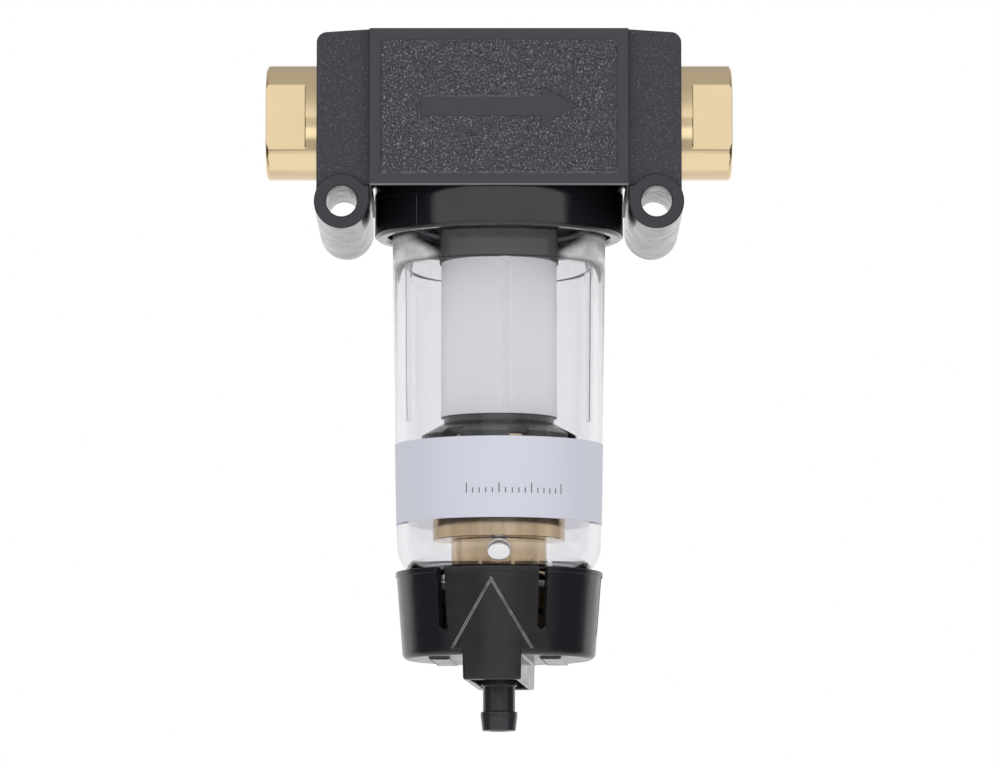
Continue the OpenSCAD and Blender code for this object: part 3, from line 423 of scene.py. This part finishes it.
def screen_cloth():
    """Fine woven mesh, drawn by crossing waves round the screen's axis."""
    material, tree, shader = new_material("screen_cloth")
    coords = object_coords(tree)
    place = split(tree, coords)
    angle = calc(tree, "ARCTAN2", calc(tree, "SUBTRACT", place["Y"], AXIS_Y), place["X"])
    threads = round(2 * math.pi * SCREEN_R / SCREEN_PITCH)
    warp = calc(tree, "SINE", calc(tree, "MULTIPLY", angle, threads))
    weft = calc(tree, "SINE", calc(tree, "MULTIPLY", place["Z"], 2 * math.pi / SCREEN_PITCH))
    weave = ramp(tree, calc(tree, "MULTIPLY", warp, weft), -1, 1)
    tone = calc(tree, "MULTIPLY", weave, ramp(tree, noise(tree, coords, 6 * MM), 0.2, 0.8, 0.75, 1.0))
    tint(tree, shader, tone, (0.91, 0.905, 0.925), (0.97, 0.965, 0.98))
    shader.inputs["Roughness"].default_value = 0.85
    bump(tree, shader, weave, 0.05 * MM, 0.6)
    return material


def off_whole(tree, value):
    """How far a value is from the nearest whole number."""
    return calc(tree, "ABSOLUTE", calc(tree, "SUBTRACT", value, calc(tree, "ROUND", value)))


def label_ticks(tree, coords):
    """Mask of a plain printed scale: short ticks, with a longer one every fifth."""
    place = split(tree, coords)
    turn = calc(tree, "ARCTAN2", place["X"], calc(tree, "SUBTRACT", AXIS_Y, place["Y"]))
    along = calc(tree, "MULTIPLY", turn, LABEL_HI.x / TICK_STEP)
    fifth = off_whole(tree, calc(tree, "DIVIDE", along, 5.0))
    length = ramp(tree, fifth, 0.11, 0.09, TICK_SHORT, TICK_LONG)
    up = calc(tree, "SUBTRACT", place["Z"], TICK_FOOT)
    return product(tree, calc(tree, "LESS_THAN", off_whole(tree, along), TICK_HALF_W),
                   calc(tree, "GREATER_THAN", up, 0.0), calc(tree, "LESS_THAN", up, length),
                   calc(tree, "GREATER_THAN", along, TICKS_FROM), calc(tree, "LESS_THAN", along, TICKS_TO))


def label_film():
    """Matt film with a faint paper tooth and a plain scale; its back lets light in, seen through the bowl."""
    material, tree, shader = new_material("label")
    coords = object_coords(tree)
    drift = noise(tree, coords, 18 * MM, detail=4)
    film = tint(tree, shader, drift, (0.675, 0.69, 0.79), (0.71, 0.725, 0.82))
    tint(tree, shader, label_ticks(tree, coords), film, (0.06, 0.06, 0.07))
    roughen(tree, shader, noise(tree, coords, 2 * MM), 0.42, 0.55)
    bump(tree, shader, noise(tree, coords, 0.4 * MM, detail=4), 0.008 * MM)
    sheer = add(tree, "ShaderNodeBsdfTranslucent", {"Color": (0.95, 0.95, 0.97, 1)})
    behind = ramp(tree, split(tree, coords)["Y"], AXIS_Y - 4 * MM, AXIS_Y + 4 * MM, 0.0, 0.9)
    depth = add(tree, "ShaderNodeLightPath").outputs["Transmission Depth"]
    lit = product(tree, behind, calc(tree, "GREATER_THAN", depth, 0.5))
    mixed = add(tree, "ShaderNodeMixShader", {0: lit, 1: shader.outputs[0], 2: sheer.outputs[0]})
    tree.links.new(mixed.outputs[0], tree.nodes["Material Output"].inputs["Surface"])
    return material


def fine_grain(name, dark, light, low_rough, high_rough, metallic=0.0):
    """Plain finishes of the inner pieces: acetal, steel, magnet and rubber."""
    material, tree, shader = new_material(name)
    coords = object_coords(tree)
    shader.inputs["Metallic"].default_value = metallic
    tint(tree, shader, noise(tree, coords, 4 * MM, detail=4), dark, light)
    grain = noise(tree, coords, 0.5 * MM, detail=4)
    roughen(tree, shader, grain, low_rough, high_rough)
    bump(tree, shader, grain, 0.008 * MM)
    return material


def make_materials():
    """Materials by slot, then those of single nodes."""
    return {
        "grained_black": grained_black(),
        "boss_black": plain_black("boss_black", (0.022, 0.0214, 0.028), (0.030, 0.0292, 0.037), 0.10, 0.24),
        "gloss_black": plain_black("gloss_black", (0.0112, 0.0112, 0.0150), (0.0142, 0.0142, 0.0185),
                                   0.09, 0.14, ior=1.62),
        "satin_black": plain_black("satin_black", (0.022, 0.0216, 0.026), (0.030, 0.0295, 0.035), 0.2, 0.3),
        "brass": brass("brass", (0.84, 0.66, 0.40), (0.88, 0.705, 0.445), (1.0, 0.03, 0.03)),
        "clear_plastic": clear_plastic(),
        "screen_cloth": screen_cloth(),
        "label": label_film(),
        "rubber": fine_grain("rubber", (0.014, 0.014, 0.014), (0.024, 0.024, 0.024), 0.55, 0.75),
        "steel": fine_grain("steel", (0.58, 0.59, 0.60), (0.70, 0.71, 0.72), 0.22, 0.36, 1.0),
        "magnet": fine_grain("magnet", (0.26, 0.27, 0.29), (0.34, 0.35, 0.37), 0.40, 0.55, 1.0),
        "white_plastic": fine_grain("white_plastic", (0.80, 0.80, 0.79), (0.86, 0.86, 0.85), 0.35, 0.5),
        # The drain's brass is a darker copy of the ports' brass as painted shade, its drift stretched upright
        # into streaks that are partly brushing marks and partly painted highlights.
        "drain_body": brass("drain_brass_painted_shade", (0.24, 0.165, 0.085), (0.84, 0.665, 0.44), (0.03, 0.03, 1.0),
                            drift_scale=(2.0, 2.0, 0.05)),
        # the knob's pointer lines are painted highlights
        "drain_knob": plain_black("knob_black", (0.0125, 0.0122, 0.0160), (0.0165, 0.0161, 0.0205),
                                  0.18, 0.26, highlight_mask=pointer_highlight),
        "element_base": plain_black("base_black", (0.006, 0.006, 0.008), (0.010, 0.010, 0.013),
                                    0.18, 0.3, ior=1.55),
        "element_top_cap": plain_black("cap_black", (0.042, 0.0415, 0.048), (0.058, 0.057, 0.065), 0.45, 0.6),
    }


def geometry_group(name):
    """An empty geometry node group. Returns it with its input and output sockets."""
    group = bpy.data.node_groups.new(name, "GeometryNodeTree")
    group.interface.new_socket("Geometry", in_out="INPUT", socket_type="NodeSocketGeometry")
    group.interface.new_socket("Geometry", in_out="OUTPUT", socket_type="NodeSocketGeometry")
    return group, add(group, "NodeGroupInput").outputs[0], add(group, "NodeGroupOutput").inputs[0]


def plain_normals_group():
    """Drops the imported normals, so that the edges can be rounded."""
    group, start, end = geometry_group("plain_normals")
    bare = add(group, "GeometryNodeRemoveAttribute", {"Geometry": start, "Name": "custom_normal"})
    group.links.new(bare.outputs["Geometry"], end)
    return group


def smooth_group(limit):
    """Shades smooth across every edge flatter than limit."""
    group, start, end = geometry_group("smooth_by_angle")
    faces = add(group, "GeometryNodeSetShadeSmooth", {"Geometry": start}, domain="FACE")
    angle = add(group, "GeometryNodeInputMeshEdgeAngle").outputs["Unsigned Angle"]
    flat = add(group, "FunctionNodeCompare", {0: angle, 1: limit}, operation="LESS_THAN").outputs[0]
    edges = add(group, "GeometryNodeSetShadeSmooth", {"Geometry": faces.outputs[0], "Shade Smooth": flat},
                domain="EDGE")
    group.links.new(edges.outputs[0], end)
    return group


def edge_weight_group(name, limit, boxes):
    """Marks the sharp edges for rounding: weight 1, or a box's own weight inside that box."""
    group, start, end = geometry_group(name)
    place = split(group, add(group, "GeometryNodeInputPosition").outputs[0])
    angle = add(group, "GeometryNodeInputMeshEdgeAngle").outputs["Unsigned Angle"]
    weight = add(group, "FunctionNodeCompare", {0: angle, 1: limit}, operation="GREATER_THAN").outputs[0]
    for low, high, share in boxes:
        inside = 1.0
        for axis in range(3):
            for bound, operation in ((low[axis], "GREATER_THAN"), (high[axis], "LESS_THAN")):
                inside = calc(group, "MULTIPLY", calc(group, operation, place[axis], bound), inside)
        cut = calc(group, "SUBTRACT", 1.0, calc(group, "MULTIPLY", inside, 1.0 - share))
        weight = calc(group, "MULTIPLY", weight, cut)
    stored = add(group, "GeometryNodeStoreNamedAttribute",
                 {"Geometry": start, "Name": "bevel_weight_edge", "Value": weight},
                 data_type="FLOAT", domain="EDGE")
    group.links.new(stored.outputs["Geometry"], end)
    return group


PLAIN_NORMALS = plain_normals_group()
SMOOTH = smooth_group(SHARP)


def add_group(obj, group):
    obj.modifiers.new(group.name, "NODES").node_group = group


def round_edges(obj, width, boxes=(), segments=3):
    """Rounds the sharp edges by modifiers, without touching the mesh."""
    add_group(obj, PLAIN_NORMALS)
    obj.modifiers.new("weld", "WELD").merge_threshold = WELD_GAP
    flat = obj.modifiers.new("flat", "DECIMATE")
    flat.decimate_type = "DISSOLVE"
    flat.angle_limit = FLAT
    add_group(obj, edge_weight_group(obj.name + "_edges", SHARP, boxes))
    edge = obj.modifiers.new("round", "BEVEL")
    edge.limit_method = "WEIGHT"
    edge.width = width
    edge.segments = segments
    edge.use_clamp_overlap = False
    add_group(obj, SMOOTH)
    obj.modifiers.new("even", "WEIGHTED_NORMAL").keep_sharp = True


def place_piece(name, mesh, body, material):
    """A new piece that rides on a body."""
    mesh.materials.clear()
    mesh.materials.append(material)
    obj = bpy.data.objects.new(name, mesh)
    bpy.context.collection.objects.link(obj)
    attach(obj, body)
    return obj


def smooth_mesh(name, points, faces):
    mesh = bpy.data.meshes.new(name)
    mesh.from_pydata(points, [], faces)
    mesh.shade_smooth()
    mesh.set_sharp_from_angle(angle=SHARP_NEW)
    return mesh


def bowl_outer(z):
    """Radius of the bowl's tapered outer face."""
    return BOWL_R - BOWL_TAPER * max((COLLAR_BOTTOM - z) / (COLLAR_BOTTOM - CORNER_Z), 0.0)


def rib_share(angle):
    """1 on a guide rib, 0 between the ribs, with soft edges."""
    step = 2 * math.pi / RIB_COUNT
    off = (angle - RIB_TURN + step / 2) % step - step / 2
    return soft(RIB_W / 2 + RIB_EDGE, RIB_W / 2 - RIB_EDGE, abs(off) * BOWL_R)


def ring(radius, z):
    """A plain ring of the bowl."""
    return lambda angle: (radius, z)


def neck_ring(z):
    """A ring of the bowl's neck, with its screw thread."""
    below_top = NECK_THREAD_TOP - z
    ends = soft(0, NECK_THREAD_END, below_top) * soft(0, NECK_THREAD_END, NECK_THREAD_LEN - below_top)

    def place(angle):
        phase = (z / NECK_THREAD_PITCH - angle / (2 * math.pi)) % 1
        tooth = soft(NECK_THREAD_W, 0, abs(phase - 0.5) * NECK_THREAD_PITCH)
        return BOWL_R + NECK_THREAD_H * tooth * ends, z

    return place


def ribbed_ring(z):
    """A ring of the bowl's inner wall, with its guide ribs."""
    wall = bowl_outer(z) - BOWL_WALL
    rib_low = BAND_Z - RIB_LEN
    rib_r = bowl_outer(rib_low) - BOWL_WALL - RIB_H
    share = soft(rib_low - RIB_EDGE, rib_low + RIB_EDGE, z)
    return lambda angle: (wall - (wall - rib_r) * share * rib_share(angle), z)


def arc(centre_r, centre_z, radius, start, end, steps):
    """Plain rings along an arc of the bowl's section, between two angles in degrees."""
    angles = [math.radians(angle) for angle in spread(start, end, steps)]
    return [ring(centre_r + radius * math.cos(a), centre_z + radius * math.sin(a)) for a in angles]


def bowl_rings():
    """The bowl's section as rings: down the outside, through the drain hole and up the inside."""
    lip_r = BOWL_R + NECK_LIP_H
    groove_low = SEAL_GROOVE_TOP - SEAL_GROOVE_LEN
    rings = [ring(lip_r, z) for z in (BOWL_HI.z, SEAL_GROOVE_TOP)]
    rings += [ring(BOWL_R - SEAL_GROOVE_D, z) for z in (SEAL_GROOVE_TOP, groove_low)]
    rings += [ring(lip_r, z) for z in (groove_low, BOWL_HI.z - NECK_LIP_LEN)]
    rings += [neck_ring(z) for z in spread(NECK_THREAD_TOP, NECK_THREAD_TOP - NECK_THREAD_LEN, NECK_STEPS)]
    rings += [ring(bowl_outer(z), z) for z in (COLLAR_BOTTOM, CORNER_Z + 0.5 * MM)]
    foot_r = bowl_outer(CORNER_Z) - BOWL_CORNER
    rings += arc(foot_r, CORNER_Z, BOWL_CORNER, 0, -90, CORNER_STEPS)
    floor_z = BOWL_LO.z + BOWL_FLOOR
    rings += [ring(DRAIN_HOLE_R, z) for z in (BOWL_LO.z, floor_z)]
    inner_corner = BOWL_CORNER - BOWL_WALL
    floor_angle = math.degrees(math.asin((floor_z - CORNER_Z) / inner_corner))
    rings += arc(foot_r, CORNER_Z, inner_corner, floor_angle, 0, INNER_CORNER_STEPS)
    rib_low = BAND_Z - RIB_LEN
    rings += [ribbed_ring(z) for z in spread(rib_low - 2 * RIB_EDGE, rib_low + 2 * RIB_EDGE, RIB_STEPS)]
    rings.append(ribbed_ring(BAND_Z - BAND_ROUND))
    wall = bowl_outer(BAND_Z) - BOWL_WALL
    band_r = BOWL_R - BOWL_WALL - RIB_H
    rings += arc(wall - BAND_ROUND, BAND_Z - BAND_ROUND, BAND_ROUND, 0, 90, BAND_STEPS)[1:]
    rings += arc(band_r + BAND_ROUND, BAND_Z + BAND_ROUND, BAND_ROUND, -90, -180, BAND_STEPS)
    rings.append(ring(band_r, BOWL_HI.z))
    return rings


def bowl_angles():
    """Even steps round the bowl, with finer ones across the edges of each rib."""
    angles = {round(step, 6) for step in spread(0, 2 * math.pi, BOWL_STEPS)[:-1]}
    for i in range(RIB_COUNT):
        middle = RIB_TURN + i * 2 * math.pi / RIB_COUNT
        for side in (-1, 1):
            for off in spread(RIB_W / 2 - 1.2 * RIB_EDGE, RIB_W / 2 + 1.2 * RIB_EDGE, RIB_STEPS):
                angles.add(round((middle + side * off / BOWL_R) % (2 * math.pi), 6))
    return sorted(angles)


def make_bowl(material):
    """The clear bowl, turned as one closed mesh with ribs and a true screw thread."""
    angles = bowl_angles()
    rings = bowl_rings()
    points = []
    for place in rings:
        for angle in angles:
            radius, z = place(angle)
            points.append((radius * math.cos(angle), AXIS_Y + radius * math.sin(angle), z))
    count = len(angles)
    faces = []
    for i in range(len(rings)):
        here = i * count
        there = (i + 1) % len(rings) * count
        for j in range(count):
            k = (j + 1) % count
            faces.append((here + j, there + j, there + k, here + k))
    mesh = smooth_mesh("clear_bowl", points, faces)
    bowl = place_piece("clear_bowl", mesh, "bowl_assembly", material)
    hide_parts("bowl")


def around_port(vert):
    """A vertex's angle round the ports' axis."""
    return math.atan2(vert.co.z, vert.co.y - AXIS_Y)


def thread_grid(work, side):
    """Adds a port's pipe thread between the two open rims of its bore."""
    open_verts = [vert for vert in work.verts if vert.is_boundary]
    start = min(abs(vert.co.x) for vert in open_verts)
    mouth = max(abs(vert.co.x) for vert in open_verts)
    middle = (start + mouth) / 2
    inner = sorted((vert for vert in open_verts if abs(vert.co.x) < middle), key=around_port)
    outer = sorted((vert for vert in open_verts if abs(vert.co.x) > middle), key=around_port)
    angles = [around_port(vert) for vert in outer]
    length = mouth - start
    rows = [inner]
    for depth in spread(length, 0, round(length / PORT_THREAD_PITCH * PORT_THREAD_STEPS))[1:-1]:
        x = side * (mouth - depth)
        fade = soft(0, PORT_EDGE / 2, depth) * soft(0, 2 * PORT_THREAD_PITCH, length - depth)
        row = []
        for angle in angles:
            wave = 0.5 - 0.5 * math.cos(2 * math.pi * x / PORT_THREAD_PITCH - angle)
            radius = PORT_BORE_R + PORT_THREAD_H * wave * fade
            row.append(work.verts.new((x, AXIS_Y + radius * math.cos(angle), radius * math.sin(angle))))
        rows.append(row)
    rows.append(outer)
    for low, high in zip(rows, rows[1:]):
        for j in range(len(angles)):
            k = (j + 1) % len(angles)
            corners = (low[j], high[j], high[k], low[k])
            work.faces.new(corners if side > 0 else reversed(corners))


def on_bore(face):
    """Whether a port's face lies on its smooth bore."""
    return all(abs(math.hypot(v.co.y - AXIS_Y, v.co.z) - PORT_BORE_R) < PORT_BORE_GAP for v in face.verts)


def make_port(node, side, material):
    """A port fitting whose smooth bore gives way to its pipe thread."""
    mesh = NODES[node].data.copy()
    work = bmesh.new()
    work.from_mesh(mesh)
    bmesh.ops.remove_doubles(work, verts=work.verts, dist=WELD_GAP)
    bmesh.ops.delete(work, geom=[face for face in work.faces if on_bore(face)], context="FACES")
    thread_grid(work, side)
    work.to_mesh(mesh)
    work.free()
    port = place_piece(node + "_threaded", mesh, "head_assembly", material)
    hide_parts(node)
    reach = PORT_BORE_R + PORT_THREAD_H + 0.1 * MM
    tip = max(abs(corner.x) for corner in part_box(node)) - PORT_EDGE / 4
    round_edges(port, PORT_ROUND, [((-tip, AXIS_Y - reach, -reach), (tip, AXIS_Y + reach, reach), 0.0)])


def make_seams(material):
    """Fine mould seams on opposite sides of the collar."""
    for name, turn in (("collar_seam_front", SEAM_ANGLE), ("collar_seam_back", SEAM_ANGLE + math.pi)):
        points = []
        for z in (COLLAR_BOTTOM + COLLAR_BEVEL, PANEL_LO.z - 0.1 * MM):
            for side, raised in ((-1, 0), (0, SEAM_H), (1, 0)):
                angle = turn + side * SEAM_W / 2 / COLLAR_R
                radius = COLLAR_R + raised - SEAM_SINK
                points.append((radius * math.cos(angle), AXIS_Y + radius * math.sin(angle), z))
        faces = [(0, 1, 4, 3), (1, 2, 5, 4), (0, 3, 5, 2), (0, 2, 1), (3, 4, 5)]
        place_piece(name, smooth_mesh(name, points, faces), "head_assembly", material)


def dress_nodes(materials):
    """Gives every CAD node its material, and rounds the edges that show."""
    slots = {part["node"]: part["material_slot"] for part in frame["record"]["subparts"]}
    for name, obj in NODES.items():
        obj.data.materials.clear()
        obj.data.materials.append(materials.get(name) or materials[slots[name]])
    field = ((PANEL_LO.x + FIELD_MARGIN / 2, -1, PANEL_LO.z + FIELD_MARGIN / 2),
             (PANEL_HI.x - FIELD_MARGIN / 2, 1, PANEL_HI.z - FIELD_MARGIN / 2), 0.5)
    above_bar = ((-1, -1, GRIP_BAR_TOP), (1, 1, 1), 0.22)
    behind_ring = ((-1, BOSS_LO.y + 1 * MM, -1), (1, 1, 1), 0.0)
    boxes = {"front_panel": [field], "drain_knob": [above_bar],
             "wall_boss_left": [behind_ring], "wall_boss_right": [behind_ring]}
    for name, width in EDGE_WIDTHS.items():
        round_edges(NODES[name], width * MM, boxes.get(name, ()))


def soft_area(name, place, width, height, watts):
    """A rectangular soft lamp that the camera sees neither straight, in gloss nor through glass."""
    lamp = bpy.data.lights.new(name, "AREA")
    lamp.shape = "RECTANGLE"
    lamp.size = width
    lamp.size_y = height
    lamp.energy = watts
    obj = bpy.data.objects.new(name, lamp)
    obj.location = place
    obj.rotation_euler = (Vector(LAMP_TARGET) - Vector(place)).to_track_quat("-Z", "Y").to_euler()
    obj.visible_camera = False
    obj.visible_glossy = False
    obj.visible_transmission = False
    bpy.context.collection.objects.link(obj)


def profile(tree, value, low, high, stops):
    """A value's level along straight lines between stops, each a place and a level."""
    share = add(tree, "ShaderNodeMapRange", {"Value": value, "From Min": low, "From Max": high})
    made = add(tree, "ShaderNodeValToRGB", {"Fac": share.outputs["Result"]})
    points = made.color_ramp.elements
    for i, (place, level) in enumerate(stops):
        point = points[i] if i < 2 else points.new(1.0)
        point.position = (place - low) / (high - low)
        point.color = (level, level, level, 1)
    return made.outputs["Color"]


def by_side(tree, toward_wall, front, side, back):
    """Blends what lies in front of the object, beside it and behind it."""
    in_front = ramp(tree, toward_wall, -0.36, -0.52)
    behind = ramp(tree, toward_wall, 0.40, 0.60)
    beside = calc(tree, "SUBTRACT", calc(tree, "SUBTRACT", 1.0, in_front), behind)
    level = calc(tree, "MULTIPLY", in_front, front)
    level = calc(tree, "ADD", level, calc(tree, "MULTIPLY", behind, back))
    return calc(tree, "ADD", level, calc(tree, "MULTIPLY", beside, side))


def lamp_pool(tree, toward_wall, gap):
    """A narrow patch of light straight in front of the object, inside the dark gap."""
    ahead = ramp(tree, toward_wall, -0.92, -0.995)
    return product(tree, ahead, gap, POOL_LEVEL)


def studio_glow(tree):
    """What reflections show above the floor: a dark gap at camera height, soft white higher up."""
    way = split(tree, add(tree, "ShaderNodeTexCoord").outputs["Generated"])
    level = calc(tree, "SQRT", calc(tree, "SUBTRACT", 1.0, calc(tree, "POWER", way["Z"], 2)))
    toward_wall = calc(tree, "DIVIDE", way["Y"], calc(tree, "MAXIMUM", level, 0.01))
    front = profile(tree, way["Z"], 0, 1, ((0, GAP_LEVEL), (0.064, GAP_LEVEL), (0.09, 1.0), (0.3, 0.9),
                                          (0.6, 0.65), (0.95, 0.5)))
    front = calc(tree, "ADD", front, lamp_pool(tree, toward_wall, ramp(tree, way["Z"], 0.09, 0.064)))
    side = profile(tree, way["Z"], 0, 1, ((0, 0.03), (0.45, 0.03), (0.8, 0.45), (0.95, 0.5)))
    back = profile(tree, way["Z"], 0, 1, ((0, 1.0), (0.3, 1.0), (0.55, 0.4), (0.95, 0.5)))
    return by_side(tree, toward_wall, front, side, back)


def floor_glow(tree, coords):
    """What reflections show of the floor: rings of light and shade around the object's foot."""
    place = split(tree, coords)
    depth = calc(tree, "SUBTRACT", place["Y"], AXIS_Y)
    far = from_axis(tree, place["X"], depth)
    toward_wall = calc(tree, "DIVIDE", depth, calc(tree, "MAXIMUM", far, 0.01))
    front = profile(tree, far, 0, FLOOR_REACH, ((0, 1.0), (0.15, 1.0), (0.21, 0.5), (0.42, 0.5), (0.5, 1.0),
                                                (0.62, 1.2), (0.95, 1.2), (1.3, 1.0), (1.6, GAP_LEVEL)))
    front = calc(tree, "ADD", front, lamp_pool(tree, toward_wall, ramp(tree, far, 1.3, 1.6)))
    side = profile(tree, far, 0, FLOOR_REACH, ((0, 1.0), (0.15, 1.0), (0.3, 0.3), (0.6, 0.04)))
    back = profile(tree, far, 0, FLOOR_REACH, ((0, 1.0), (0.15, 1.0), (0.25, 0.75), (1.6, 1.0)))
    return by_side(tree, toward_wall, front, side, back)


def seen_through(tree, path, behind):
    """White through the bowl's far side, and from behind through one wall.

    Matt faces inside take more of it, because the lamps don't reach them through the wall.
    """
    far_side = calc(tree, "GREATER_THAN", path["Transmission Depth"], 2.5)
    matt = calc(tree, "GREATER_THAN", path["Diffuse Depth"], 0.5)
    level = calc(tree, "ADD", 1.0, calc(tree, "MULTIPLY", matt, INSIDE_LIGHT))
    white = calc(tree, "MULTIPLY", path["Is Transmission Ray"], calc(tree, "MAXIMUM", behind, far_side))
    return calc(tree, "MULTIPLY", white, level)


def make_world():
    """White to the camera and through the bowl, a plain level for matt faces, a studio in gloss."""
    world = bpy.data.worlds.new("studio")
    bpy.context.scene.world = world
    world.use_nodes = True
    tree = world.node_tree
    tree.nodes.clear()
    path = add(tree, "ShaderNodeLightPath").outputs
    way = split(tree, add(tree, "ShaderNodeTexCoord").outputs["Generated"])
    through = seen_through(tree, path, ramp(tree, way["Y"], 0.2, 0.5))
    white = calc(tree, "MAXIMUM", path["Is Camera Ray"], through)
    in_gloss = calc(tree, "MAXIMUM", path["Is Glossy Ray"], path["Is Transmission Ray"])
    plain = calc(tree, "MULTIPLY", calc(tree, "SUBTRACT", 1.0, in_gloss), WORLD_LEVEL)
    level = calc(tree, "ADD", calc(tree, "MULTIPLY", in_gloss, studio_glow(tree)), plain)
    strength = calc(tree, "MAXIMUM", white, level)
    shell = add(tree, "ShaderNodeBackground", {"Color": (1, 1, 1, 1), "Strength": strength})
    out = add(tree, "ShaderNodeOutputWorld")
    tree.links.new(shell.outputs[0], out.inputs["Surface"])


def make_floor():
    """A pale floor that takes the object's shadow; gloss and glass see light and shade on it instead."""
    corners = [(x * FLOOR_HALF, y * FLOOR_HALF, FLOOR_Z) for x, y in ((-1, -1), (1, -1), (1, 1), (-1, 1))]
    mesh = bpy.data.meshes.new("floor")
    mesh.from_pydata(corners, [], [(0, 1, 2, 3)])
    material, tree, shader = new_material("pale_floor")
    coords = object_coords(tree)
    tint(tree, shader, noise(tree, coords, 0.5, detail=4), (0.86, 0.86, 0.86), (0.90, 0.90, 0.90))
    shader.inputs["Roughness"].default_value = 0.9
    path = add(tree, "ShaderNodeLightPath").outputs
    in_gloss = calc(tree, "MAXIMUM", path["Is Glossy Ray"], path["Is Transmission Ray"])
    through = seen_through(tree, path, ramp(tree, split(tree, coords)["Y"], 0.0, 0.1))
    strength = calc(tree, "MAXIMUM", floor_glow(tree, coords), through)
    glow = add(tree, "ShaderNodeEmission", {"Color": (1, 1, 1, 1), "Strength": strength})
    mixed = add(tree, "ShaderNodeMixShader", {0: in_gloss, 1: shader.outputs[0], 2: glow.outputs[0]})
    tree.links.new(mixed.outputs[0], tree.nodes["Material Output"].inputs["Surface"])
    mesh.materials.append(material)
    floor = bpy.data.objects.new("floor", mesh)
    bpy.context.collection.objects.link(floor)


def make_camera():
    data = bpy.data.cameras.new("camera")
    data.sensor_width = SENSOR_W
    data.lens = FOCAL_PX * SENSOR_W / PHOTO_W
    data.clip_end = 100
    camera = bpy.data.objects.new("camera", data)
    camera.location = (CAMERA_X, AXIS_Y - CAMERA_BACK, CAMERA_Z)
    camera.rotation_euler = (math.pi / 2 + CAMERA_TILT, 0, 0)
    bpy.context.collection.objects.link(camera)
    bpy.context.scene.camera = camera


make_camera()
make_world()
make_floor()
for lamp_row in LAMPS:
    soft_area(*lamp_row)
MATERIALS = make_materials()
dress_nodes(MATERIALS)
make_bowl(MATERIALS["clear_plastic"])
make_port("inlet_port", -1, MATERIALS["brass"])
make_port("outlet_port", 1, MATERIALS["brass"])
make_seams(MATERIALS["gloss_black"])
bpy.context.scene.view_settings.view_transform = "Standard"
